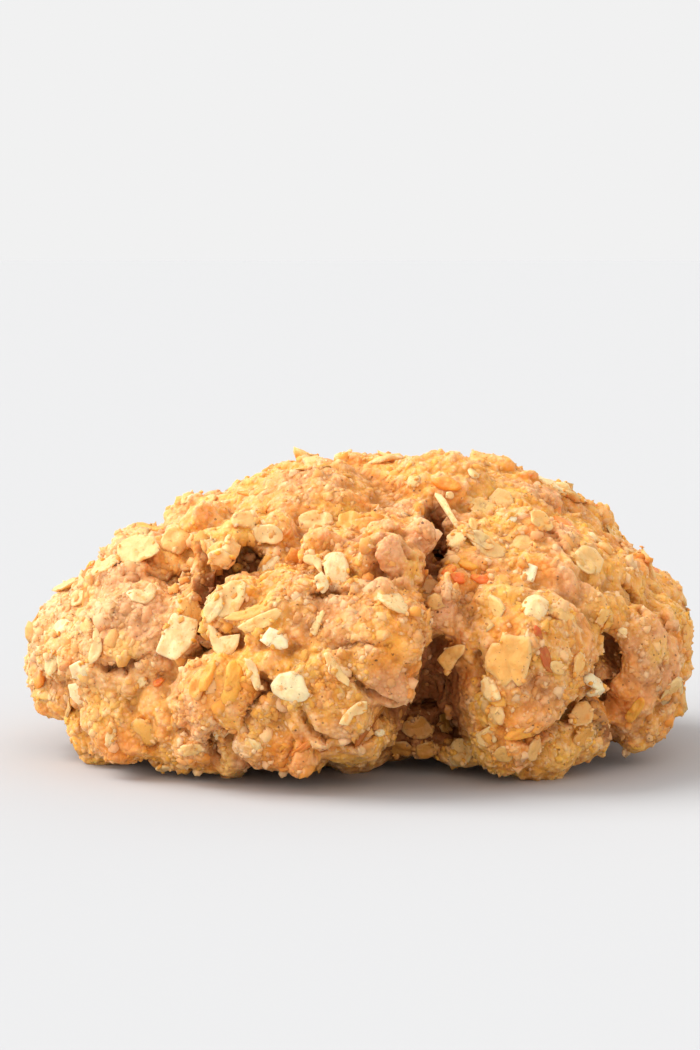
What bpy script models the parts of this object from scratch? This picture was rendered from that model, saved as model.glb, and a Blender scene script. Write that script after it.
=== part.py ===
"""Carrot cake cookie: a domed drop cookie of oat dough, with clods, cracks, oat flakes and carrot shreds.

The dough is one closed solid. A smooth mound, given in closed form, is raised by clods of dough that
are parts of balls, and lowered along a few cracks. Flakes and shreds are fused to it. The cookie rests
on a flat underside at Z = 0, faces -Y, and has its origin under the middle of its outline.
"""

import math

import bmesh
import bpy
import numpy as np
from mathutils import Euler, Matrix, Vector

MM = 0.001

# The smooth mound, in millimetres.
WAIST = 11.0  # height of the widest level
UP = 18.2  # from the waist to the top
DOWN = 13.2  # from the waist down, before the flat underside cuts it off
HALF_WIDTH = 33.8
HALF_DEPTH = 31.2
LEAN = 0.20  # how far the top moves to the right for each millimetre above the waist
ROUND_SIDE = 0.95  # powers of the cosine and sine that the mound's profile follows
ROUND_UP = 1.16
ROUND_DOWN = 0.62
CENTRE_SHIFT = (-0.25, 1.1)  # brings the middle of the finished outline over the origin

# Clods of dough on the front: bearing in degrees (0 faces -Y, + to the right), height on the mound,
# radius of the ball, and how far its top stands out of the mound, in millimetres.
CLODS = {
    "brow": (0, 15.0, 9.0, 3.1),
    "brow_left": (-14, 16.8, 7.0, 2.7),
    "chin": (-5, 9.8, 7.5, 3.2),
    "chin_left": (-15, 10.5, 5.5, 2.6),
    "left_cheek": (-49, 13.5, 10.5, 2.4),
    "left_low": (-26, 8.5, 5.0, 1.9),
    "left_foot": (-47, 4.2, 6.0, 2.4),
    "left_toe": (-28, 2.8, 4.5, 2.2),
    "right_cheek": (29, 13.5, 8.6, 2.8),
    "right_low": (27, 8.0, 6.2, 2.3),
    "right_foot": (28, 4.2, 5.2, 2.6),
    "right_toe": (48, 3.4, 4.6, 2.4),
    "far_right": (60, 10.0, 7.5, 2.4),
    "far_right_up": (74, 14.0, 7.0, 1.0),
    "far_right_low": (66, 4.6, 5.5, 2.2),
    "upper_mid": (3, 22.5, 5.0, 1.6),
    "upper_mid_left": (-8, 21.8, 4.4, 1.2),
    "upper_left": (-60, 20.5, 8.0, 1.8),
    "upper_knob": (-37, 22.6, 3.6, 1.8),
    "shoulder": (50, 22.0, 11.0, 0.7),
    "crown_right": (72, 27.6, 9.0, 1.9),
    "crown_left": (-40, 27.6, 10.0, 1.8),
    "front_foot": (-13, 4.2, 5.4, 2.6),
    "toe": (5, 3.0, 3.6, 1.6),
}
# Smaller clods all over: how many, range of ball radius, range of stand-out.
BROAD_CLODS = (90, (5.0, 8.5), (0.0, 0.9))
FINE_CLODS = (700, (1.4, 3.0), (0.15, 0.8))
FLOOR = -1.3  # the mound between clods lies this far in

# Cracks: (bearing, height, half width, depth) at each turning point.
CRACKS = {
    "left": [(-27, 22.4, 0.8, 2.5), (-29, 19.4, 1.2, 4.5), (-31, 16.5, 1.1, 4.5), (-28, 13.0, 0.6, 1.5)],
    "gap": [(10, 18.0, 0.8, 2.5), (10.5, 14.3, 1.2, 4.5), (12.5, 10.6, 1.8, 6.0), (13.5, 6.7, 2.6, 6.5),
            (18, 1.6, 3.4, 5.0)],
    "top": [(37, 27.5, 0.6, 1.2), (17, 24.3, 0.9, 3.0), (10, 21.3, 0.9, 3.0), (9, 18.0, 0.7, 2.5)],
    "right": [(46, 13.2, 0.8, 2.5), (47, 9.7, 1.0, 3.5), (50, 6.0, 1.0, 3.5), (56, 2.0, 1.4, 3.0)],
    "under": [(-7, 5.4, 0.8, 1.6), (3, 5.8, 0.9, 2.6), (9, 6.8, 1.2, 3.5)],
    "seam": [(-21, 14.6, 0.7, 1.2), (-19.5, 10.0, 0.7, 1.8), (-22, 6.0, 0.7, 1.2)],
    "ledge": [(-63, 19.6, 0.6, 1.0), (-41, 20.2, 0.6, 1.5)],
    "side": [(58, 14.8, 0.7, 1.5), (62, 12.8, 0.7, 1.5)],
}

# Oat flakes on the front: bearing, height, length, width, turn and tilt in degrees.
FLAKES = {
    "lower_round": (-11, 10.3, 4.2, 3.5, 10, 8),
    "slanted": (-33, 14.4, 5.6, 3.9, 65, 14),
    "upright": (-8, 21.1, 3.8, 2.6, 85, 12),
    "upright_small": (-11, 20.2, 2.6, 2.2, 20, 12),
    "white": (-16, 14.7, 3.0, 2.2, -30, 10),
    "folded": (-24, 14.2, 4.4, 3.4, 15, 16),
    "plate": (-26, 18.2, 5.4, 3.6, 40, 12),
    "left_pair_top": (-56, 9.4, 4.0, 3.4, 70, 10),
    "left_pair_low": (-55, 7.0, 3.4, 3.0, 20, 10),
    "lying": (-65, 21.6, 6.0, 4.4, 0, 8),
    "knob": (-38, 23.4, 4.2, 3.6, 40, 14),
    "top_left": (-22, 25.1, 4.6, 3.6, 15, 8),
    "top_mid": (-12, 24.9, 3.8, 3.2, -20, 8),
    "yellow_a": (41, 26.6, 4.4, 3.4, 25, 12),
    "yellow_b": (44, 25.0, 4.2, 3.2, 60, 12),
    "yellow_c": (24, 23.4, 5.6, 2.6, -25, 16),
    "curl": (31, 20.4, 3.4, 3.0, 0, 18),
    "cream": (31, 17.3, 3.6, 3.4, 30, 10),
    "square": (25, 12.6, 5.2, 5.0, 12, 8),
    "crumb": (42, 9.6, 3.2, 2.6, -30, 20),
    "pile_a": (22, 5.6, 4.4, 3.6, 50, 16),
    "pile_b": (27, 2.6, 4.8, 3.4, 10, 14),
    "right_edge": (86, 11.5, 4.6, 3.8, 80, 16),
    "left_edge": (-87, 13.4, 4.6, 4.0, 30, 14),
    "foot": (-26, 2.0, 4.4, 3.4, 5, 10),
}
MORE_FLAKES = 34  # scattered over the sides, the back and the top
FLAKE_THICK = 0.75
FLAKE_CORNERS = 9

# Carrot shreds and sticks: bearing, height, length, width, turn.
SHREDS = {
    "pale_stick": (22, 25.6, 5.6, 1.1, 62),
    "orange": (17, 20.2, 4.6, 1.6, 10),
    "amber": (22, 19.6, 3.6, 1.5, -30),
    "brown": (32, 12.8, 4.6, 1.2, 80),
    "dark": (-13, 3.4, 3.6, 2.0, -20),
    "knob": (-62, 2.6, 3.0, 2.2, 0),
}
MORE_SHREDS = 10
SHRED_CORNERS = 5

ICO_STEPS = 7
GRAIN = 0.75  # cell of the remesh that closes folds in the cracks
DOUGH_TRIANGLES = 5400
DOUGH_COLOUR = (0.58, 0.34, 0.13, 1.0)


def unit(v):
    return v / np.maximum(np.linalg.norm(v, axis=-1, keepdims=True), 1e-12)


def towards(bearing, height):
    """Direction that lands on the mound at this bearing and height."""
    t = (height - WAIST) / (UP if height > WAIST else DOWN)
    rise = math.copysign(min(abs(t), 1.0) ** (1 / (ROUND_UP if t > 0 else ROUND_DOWN)), t)
    flat = math.sqrt(max(1 - rise * rise, 0.0))
    b = math.radians(bearing)
    return np.array([math.sin(b) * flat, -math.cos(b) * flat, rise])


def mound(d):
    """Points and outward normals of the mound where the unit directions d fall.

    With c the cosine and s the sine of a direction's rise, the radius is c ** ROUND_SIDE and the
    height s ** ROUND_UP or s ** ROUND_DOWN, stretched to the mound's sizes. The normal is the
    gradient of the surface that these powers trace.
    """
    d = np.atleast_2d(d)
    flat = np.maximum(np.hypot(d[:, 0], d[:, 1]), 1e-6)
    above = d[:, 2] > 0
    power = np.where(above, ROUND_UP, ROUND_DOWN)
    high = np.where(above, UP, DOWN)
    radius = flat**ROUND_SIDE
    z = np.sign(d[:, 2]) * np.abs(d[:, 2]) ** power
    ux, uy = d[:, 0] / flat, d[:, 1] / flat
    points = np.stack([ux * radius * HALF_WIDTH, uy * radius * HALF_DEPTH, WAIST + z * high], 1)
    out = 2 / ROUND_SIDE * radius ** (2 / ROUND_SIDE - 1)
    rise = 2 / power * np.maximum(np.abs(z), 1e-6) ** (2 / power - 1)
    normals = np.stack([ux * out / HALF_WIDTH, uy * out / HALF_DEPTH, np.sign(z) * rise / high], 1)
    points[:, 0] += LEAN * np.maximum(points[:, 2] - WAIST, 0)
    return points, unit(normals)


def mixed(cells, salt):
    """A number in 0..1 for each whole-number cell, the same each run."""
    n = cells[:, 0] * 73856093 ^ cells[:, 1] * 19349663 ^ cells[:, 2] * 83492791 ^ salt * 40503
    n = (n & 0xFFFFFFFF).astype(np.uint64)
    for _ in range(2):
        n = (n ^ (n >> np.uint64(16))) * np.uint64(0x45D9F3B) & np.uint64(0xFFFFFFFF)
    return (n ^ (n >> np.uint64(16))).astype(np.float64) / 4294967295.0


def noise(p, size, salt):
    """Smooth gradient noise of about -1..1, with blobs about size across."""
    q = p / size
    cell = np.floor(q).astype(np.int64)
    f = q - cell
    w = f**3 * (f * (f * 6 - 15) + 10)
    total = np.zeros(len(p))
    for corner in np.ndindex(2, 2, 2):
        slope = np.stack([mixed(cell + corner, salt + k) for k in (1, 2, 3)], 1) * 2 - 1
        share = np.prod(np.where(np.array(corner) == 1, w, 1 - w), axis=1)
        total += ((f - corner) * slope).sum(1) * share
    return total * 1.6


def warped(p, size, amount, salt):
    return p + amount * np.stack([noise(p, size, salt + 10 * k) for k in (1, 2, 3)], 1)


def ball(p, middle, radius, stand):
    """Height over the mound of a ball whose top stands that far out over its middle."""
    away = ((p - middle) ** 2).sum(1)
    inside = away < radius**2
    return np.where(inside, stand - radius + np.sqrt(np.maximum(radius**2 - away, 0)), -100.0)


def blended_max(a, b, width):
    near = np.maximum(width - np.abs(a - b), 0) / width
    return np.maximum(a, b) + near * near * width / 4


def spread(count, seed):
    """Directions spread evenly over all sides by the golden angle, with a seeded jitter."""
    rng = np.random.default_rng(seed)
    rank = np.arange(count) + 0.5
    z = 1 - 2 * rank / count
    turn = rank * math.pi * (3 - math.sqrt(5))
    flat = np.sqrt(1 - z * z)
    d = np.stack([flat * np.cos(turn), flat * np.sin(turn), z], 1)
    return unit(d + rng.normal(0, 0.9 / math.sqrt(count), d.shape)), rng


def crack_cut(p, turning_points):
    """Depth of one crack at points p: steep walls round a line, with its width and depth eased along it."""
    middles = [mound(towards(b, z))[0][0] for b, z, _, _ in turning_points]
    cut = np.zeros(len(p))
    for i in range(len(middles) - 1):
        start, end = middles[i], middles[i + 1]
        along = end - start
        t = np.clip((p - start) @ along / (along @ along), 0, 1)
        away = np.linalg.norm(p - start - t[:, None] * along, axis=1)
        width = turning_points[i][2] * (1 - t) + turning_points[i + 1][2] * t
        depth = turning_points[i][3] * (1 - t) + turning_points[i + 1][3] * t
        cut = np.maximum(cut, depth * np.exp(-((away / width) ** 2.6)))
    return cut


def surface(d):
    """Points of the dough's surface, in millimetres, where the unit directions d fall."""
    base, normals = mound(d)
    p = warped(warped(base, 6.0, 1.0, 100), 2.4, 0.4, 200)
    height = np.full(len(p), FLOOR)
    count, radii, stands = BROAD_CLODS
    places, rng = spread(count, 5)
    for place in places:
        clod = ball(p, mound(place)[0][0], rng.uniform(*radii), rng.uniform(*stands))
        height = blended_max(height, clod, 0.5)
    for bearing, z, radius, stand in CLODS.values():
        clod = ball(p, mound(towards(bearing, z))[0][0], radius, stand)
        height = blended_max(height, clod, 0.4)
    count, radii, stands = FINE_CLODS
    places, rng = spread(count, 11)
    fine = np.zeros(len(p))
    for place in places:
        fine = np.maximum(fine, ball(p, mound(place)[0][0], rng.uniform(*radii), rng.uniform(*stands)))
    height += fine + 0.35 * noise(base, 8.0, 31) + 0.3 * noise(base, 2.6, 37)
    for turning_points in CRACKS.values():
        height -= crack_cut(p, turning_points)
    points = base + normals * height[:, None]
    points[:, :2] += CENTRE_SHIFT
    return points


def seat(d, reach=0.05):
    """Point on the dough in direction d, with its broad outward normal, in millimetres."""
    side = unit(np.cross(d, (0.0, 0.0, 1.0)) + (1e-6, 0, 0))
    rise = np.cross(side, d)
    steps = [side, -side, rise, -rise]
    ring = surface(unit(np.array([d] + [d + reach * step for step in steps])))
    normal = unit(np.cross(ring[1] - ring[2], ring[3] - ring[4]))
    if normal @ d < 0:
        normal = -normal
    return ring[0], normal


def placed(mesh, d, turn, tilt, sink):
    """Seats a mesh, modelled flat in XY, on the dough: turned about its normal, tilted and sunk."""
    point, normal = seat(d)
    upright = Vector(normal).to_track_quat("Z", "Y").to_matrix().to_4x4()
    lean = Euler((math.radians(tilt), 0, math.radians(turn)), "XYZ").to_matrix().to_4x4()
    middle = Vector(point - normal * sink)
    mesh.transform(Matrix.Diagonal((MM, MM, MM, 1)) @ Matrix.Translation(middle) @ upright @ lean)


def as_object(name, shape, home):
    mesh = bpy.data.meshes.new(name)
    shape.to_mesh(mesh)
    shape.free()
    thing = bpy.data.objects.new(name, mesh)
    home.objects.link(thing)
    return thing


def flake(name, d, length, width, turn, tilt, rng, home):
    """A rolled oat flake: a thin disc with an uneven, slightly turned-up rim."""
    shape = bmesh.new()
    bmesh.ops.create_cone(shape, cap_ends=True, segments=FLAKE_CORNERS, radius1=1, radius2=1, depth=1)
    swell = rng.uniform(0.86, 1.12, FLAKE_CORNERS)
    cup = rng.uniform(0.0, 0.5)
    for vertex in shape.verts:
        angle = math.atan2(vertex.co.y, vertex.co.x) % (2 * math.pi)
        size = swell[round(angle / (2 * math.pi) * FLAKE_CORNERS) % FLAKE_CORNERS]
        lift = cup * math.cos(2 * angle)
        z = vertex.co.z * FLAKE_THICK + lift
        vertex.co = (vertex.co.x * size * length / 2, vertex.co.y * size * width / 2, z)
    bmesh.ops.triangulate(shape, faces=shape.faces[:])
    thing = as_object(name, shape, home)
    placed(thing.data, d, turn, tilt, 0.1)
    return thing


def shred(name, d, length, width, turn, tilt, home):
    """A carrot shred: a short tapered rod lying along the dough."""
    shape = bmesh.new()
    bmesh.ops.create_cone(
        shape, cap_ends=True, segments=SHRED_CORNERS, radius1=width / 2, radius2=width * 0.36, depth=length
    )
    bmesh.ops.rotate(shape, cent=(0, 0, 0), matrix=Matrix.Rotation(math.pi / 2, 3, "Y"), verts=shape.verts)
    thing = as_object(name, shape, home)
    placed(thing.data, d, turn, tilt, width * 0.12)
    return thing


def drop_loose(mesh):
    """Keeps the largest closed body: a sealed hollow closes up and a loose scrap goes."""
    shape = bmesh.new()
    shape.from_mesh(mesh)
    left = set(shape.verts)
    bodies = []
    while left:
        stack = [left.pop()]
        body = set(stack)
        while stack:
            for edge in stack.pop().link_edges:
                for other in edge.verts:
                    if other not in body:
                        body.add(other)
                        left.discard(other)
                        stack.append(other)
        bodies.append(body)
    bodies.sort(key=len, reverse=True)
    for body in bodies[1:]:
        bmesh.ops.delete(shape, geom=list(body), context="VERTS")
    shape.to_mesh(mesh)
    shape.free()


def apply_modifiers(thing):
    graph = bpy.context.evaluated_depsgraph_get()
    made = bpy.data.meshes.new_from_object(thing.evaluated_get(graph))
    thing.modifiers.clear()
    thing.data = made


def make_dough(home):
    """The mound with its clods and cracks, thinned out."""
    bpy.ops.mesh.primitive_ico_sphere_add(subdivisions=ICO_STEPS, radius=1)
    dough = bpy.context.active_object
    dough.name = "cookie"
    for collection in list(dough.users_collection):
        collection.objects.unlink(dough)
    home.objects.link(dough)
    mesh = dough.data
    ways = np.empty(len(mesh.vertices) * 3)
    mesh.vertices.foreach_get("co", ways)
    points = surface(unit(ways.reshape(-1, 3))) * MM
    mesh.vertices.foreach_set("co", points.ravel())
    remesh = dough.modifiers.new("close_folds", "REMESH")
    remesh.mode = "VOXEL"
    remesh.voxel_size = GRAIN * MM
    apply_modifiers(dough)
    thin = dough.modifiers.new("thin_out", "DECIMATE")
    dough.data.calc_loop_triangles()
    thin.ratio = DOUGH_TRIANGLES / len(dough.data.loop_triangles)
    thin.use_collapse_triangulate = True
    apply_modifiers(dough)
    return dough


def cut_flat(mesh):
    """Cuts off what lies below Z = 0 and closes the underside with a flat face."""
    shape = bmesh.new()
    shape.from_mesh(mesh)
    cut = bmesh.ops.bisect_plane(
        shape, geom=shape.verts[:] + shape.edges[:] + shape.faces[:], plane_co=(0, 0, 0), plane_no=(0, 0, -1),
        clear_outer=True,
    )
    rim = [item for item in cut["geom_cut"] if isinstance(item, bmesh.types.BMEdge)]
    bmesh.ops.edgeloop_fill(shape, edges=rim)
    bmesh.ops.triangulate(shape, faces=[face for face in shape.faces if len(face.verts) > 3])
    bmesh.ops.recalc_face_normals(shape, faces=shape.faces)
    shape.to_mesh(mesh)
    shape.free()


def make_toppings(home):
    rng = np.random.default_rng(21)
    for name, (bearing, height, length, width, turn, tilt) in FLAKES.items():
        flake(f"flake_{name}", towards(bearing, height), length, width, turn, tilt, rng, home)
    for name, (bearing, height, length, width, turn) in SHREDS.items():
        shred(f"shred_{name}", towards(bearing, height), length, width, turn, 6, home)
    places, _ = spread(2 * (MORE_FLAKES + MORE_SHREDS), 8)
    named = np.array([towards(b, z) for b, z, *_ in list(FLAKES.values()) + list(SHREDS.values())])
    free = [d for d in places if d[2] > -0.25 and (named @ d).max() < 0.985]
    for i, d in enumerate(free[: MORE_FLAKES + MORE_SHREDS]):
        if i % 4 == 3:
            shred(f"shred_{i}", d, rng.uniform(3.5, 6.0), rng.uniform(1.1, 1.7), rng.uniform(0, 180), 8, home)
        else:
            long = rng.uniform(3.8, 5.6)
            wide = long * rng.uniform(0.7, 0.95)
            flake(f"flake_{i}", d, long, wide, rng.uniform(0, 180), rng.uniform(4, 16), rng, home)


def main():
    for thing in list(bpy.data.objects):
        bpy.data.objects.remove(thing, do_unlink=True)
    home = bpy.data.collections.new("carrot_cake_cookie")
    bpy.context.scene.collection.children.link(home)
    toppings = bpy.data.collections.new("toppings")
    bpy.context.scene.collection.children.link(toppings)

    dough = make_dough(home)
    make_toppings(toppings)
    join = dough.modifiers.new("fuse_toppings", "BOOLEAN")
    join.operation = "UNION"
    join.operand_type = "COLLECTION"
    join.collection = toppings
    apply_modifiers(dough)
    for thing in list(toppings.objects):
        bpy.data.objects.remove(thing, do_unlink=True)
    bpy.data.collections.remove(toppings)
    drop_loose(dough.data)
    cut_flat(dough.data)
    drop_loose(dough.data)

    material = bpy.data.materials.new("baked_dough")
    material.use_nodes = True
    shader = material.node_tree.nodes["Principled BSDF"]
    shader.inputs["Base Color"].default_value = DOUGH_COLOUR
    shader.inputs["Roughness"].default_value = 0.85
    shader.inputs["Metallic"].default_value = 0.0
    dough.data.materials.clear()
    dough.data.materials.append(material)
    dough.data.shade_smooth()


main()
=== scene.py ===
"""Looks of a carrot cake cookie: crumbly oat dough, rolled oat flakes, carrot shreds and loose grains.

Shapes are worked out in millimetres and turned into metres when a mesh is made. The cookie faces -Y and
rests on Z = 0. A bearing is 0 towards -Y and grows to the right; a height is above the underside.
"""

import math

import bmesh
import bpy
import numpy as np
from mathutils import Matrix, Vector


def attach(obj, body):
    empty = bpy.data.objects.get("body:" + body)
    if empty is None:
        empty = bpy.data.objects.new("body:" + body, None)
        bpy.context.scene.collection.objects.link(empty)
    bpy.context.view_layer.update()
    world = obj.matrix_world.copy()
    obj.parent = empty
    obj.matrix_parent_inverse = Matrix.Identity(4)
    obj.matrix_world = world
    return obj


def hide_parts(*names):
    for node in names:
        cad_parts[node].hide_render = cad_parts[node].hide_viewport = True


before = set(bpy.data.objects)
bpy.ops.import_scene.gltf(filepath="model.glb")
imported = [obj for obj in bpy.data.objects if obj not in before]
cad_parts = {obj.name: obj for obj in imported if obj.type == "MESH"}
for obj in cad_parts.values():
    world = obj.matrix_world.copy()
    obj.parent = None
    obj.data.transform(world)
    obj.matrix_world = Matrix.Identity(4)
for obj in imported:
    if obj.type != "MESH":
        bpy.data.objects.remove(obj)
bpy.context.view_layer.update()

MM = 0.001

# The smooth mound under the dough: the height where it is widest, how far it goes up and down from there, its
# half width and half depth, its lean to the right for each mm of height, the powers that round its side, top
# and bottom, where its middle stands, and the point inside that loose things point away from.
WAIST = 11.0
UP = 18.2
DOWN = 13.2
HALF_WIDTH = 33.8
HALF_DEPTH = 31.2
LEAN = 0.20
ROUND_SIDE = 0.95
ROUND_UP = 1.16
ROUND_DOWN = 0.62
CENTRE_SHIFT = np.array([-0.25, 1.1, 0.0])
CENTRE = np.array([0.0, 0.0, WAIST])

# Clods of dough: bearing, height, radius of the ball, and how far its top stands out of the mound.
CLODS = {
    "brow": (0, 15.0, 9.0, 3.1),
    "brow_left": (-14, 16.8, 7.0, 2.7),
    "chin": (-5, 9.8, 7.5, 3.2),
    "chin_left": (-15, 10.5, 5.5, 2.6),
    "left_cheek": (-49, 13.5, 10.5, 2.4),
    "left_low": (-26, 8.5, 5.0, 1.9),
    "left_foot": (-47, 4.2, 6.0, 2.4),
    "left_heel": (-62, 2.2, 5.0, 2.6),
    "left_toe": (-28, 2.8, 4.5, 2.2),
    "right_cheek": (31, 13.5, 8.2, 2.8),
    "right_low": (27, 8.0, 6.2, 2.3),
    "right_foot": (28, 4.2, 5.2, 2.6),
    "right_toe": (48, 3.4, 4.6, 2.4),
    "far_right": (60, 10.0, 7.5, 2.4),
    "far_right_up": (74, 12.0, 6.0, 0.0),
    "far_right_low": (66, 4.6, 5.5, 2.2),
    "upper_mid": (3, 22.5, 5.0, 1.6),
    "upper_mid_left": (-8, 21.8, 4.4, 1.2),
    "upper_left": (-60, 20.5, 8.0, 1.8),
    "upper_knob": (-37, 22.6, 3.6, 1.8),
    "shoulder": (50, 22.0, 11.0, 0.3),
    "crown_right": (72, 27.6, 9.0, 1.2),
    "crown_left": (-40, 27.6, 10.0, 2.2),
    "front_foot": (-13, 4.2, 5.4, 2.6),
    "toe": (5, 3.0, 3.6, 1.0),
    "crown": (20, 29.1, 13.0, 0.9),
    "crown_far_left": (-100, 26.5, 9.5, 0.1),
    "crown_west": (-75, 27.2, 7.0, 1.1),
    "crown_middle": (40, 28.6, 8.0, 2.2),
    "crown_east": (95, 28.2, 5.0, 2.0),
    "crown_dip": (-90, 28.4, 5.5, 1.3),
    "crown_peak": (-90, 29.1, 6.0, 1.7),
    "left_crest": (-95, 21.4, 5.0, 0.5),
    "left_shoulder": (-78, 20.5, 7.0, 0.8),
    "right_sole": (40, 1.8, 5.5, 3.2),
    "left_sole": (-37, 2.2, 5.0, 2.0),
    "pebble_high": (-1, 23.6, 2.3, 1.4),
    "pebble_left": (-4, 21.9, 1.9, 1.3),
    "pebble_middle": (3, 22.6, 2.3, 1.6),
    "pebble_right": (8, 23.6, 2.4, 1.2),
    "pebble_low": (4.5, 20.9, 1.9, 1.4),
    "pebble_gap": (12, 19.4, 2.0, 2.0),
    "pebble_side": (-13, 22.4, 2.0, 2.2),
    "knob_high": (-28, 24.2, 1.9, 1.9),
    "knob_low": (-35, 23.6, 2.2, 2.0),
    "gold_high": (-50, 24.0, 2.6, 1.8),
    "plate_shoulder": (-25, 17.6, 4.5, 2.0),
}

# Broad seeded clods all round: how many, range of radius, range of how far they stand out, and seed.
BROAD_CLODS = (90, (5.0, 8.5), (0.0, 0.9), 5)

# Level of the bare dough against the mound, and how far and up to what height its foot is tucked in.
BARE_LEVEL = -1.3
TUCK = 1.3
TUCK_HEIGHT = 5.0

# Unevenness of the core: size across, amount in mm and salt of each layer of noise or cells.
CLOD_BENDS = ((6.0, 1.0, 100), (2.4, 0.4, 200))
SWELLS = ((8.0, 0.35, 31), (2.6, 0.3, 37))
CHUNK_BEND = (3.0, 0.9, 300)
CHUNKS = ((4.6, 0.85, 41), (2.5, 0.55, 43))
CHUNK_MIDDLE = 0.42

# Cracks: (bearing, height, half width, depth) at each turning point.
CRACKS = {
    "left": [(-32, 20.2, 1.0, 3.0), (-33, 17.2, 0.8, 3.0), (-28, 13.0, 0.6, 1.8)],
    "left_dent": [(-80, 21.0, 4.0, 0.6), (-88, 16.5, 4.0, 1.3)],
    "right_dent": [(74, 20.5, 4.0, 1.2), (84, 17.5, 4.0, 1.0)],
    "gap": [
        (10, 18.6, 1.0, 3.5), (12.5, 15.0, 2.2, 6.5), (14.5, 10.8, 3.0, 8.5), (13.0, 6.7, 3.8, 8.5),
        (14, 1.6, 4.0, 6.5),
    ],
    "top": [(16, 26.2, 0.5, 1.0), (14, 24.3, 1.1, 4.0), (11, 21.3, 1.0, 4.0), (9, 18.2, 0.8, 3.0)],
    "right": [
        (45.5, 14.2, 0.7, 2.0), (47.5, 12.0, 1.3, 6.0), (48, 8.6, 0.9, 3.5), (50, 6.0, 1.1, 4.0),
        (56, 2.0, 1.6, 3.5),
    ],
    "under": [(-7, 5.4, 0.8, 1.6), (3, 5.8, 0.9, 2.6), (9, 6.8, 1.2, 3.5)],
    "seam": [(-21, 14.6, 0.7, 1.2), (-19.5, 10.0, 0.7, 1.8), (-22, 6.0, 0.7, 1.2)],
    "ledge": [(-63, 19.6, 0.6, 1.0), (-41, 20.2, 0.6, 1.5)],
    "side": [(58, 14.8, 0.7, 1.5), (62, 12.8, 0.7, 1.5)],
}

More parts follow.
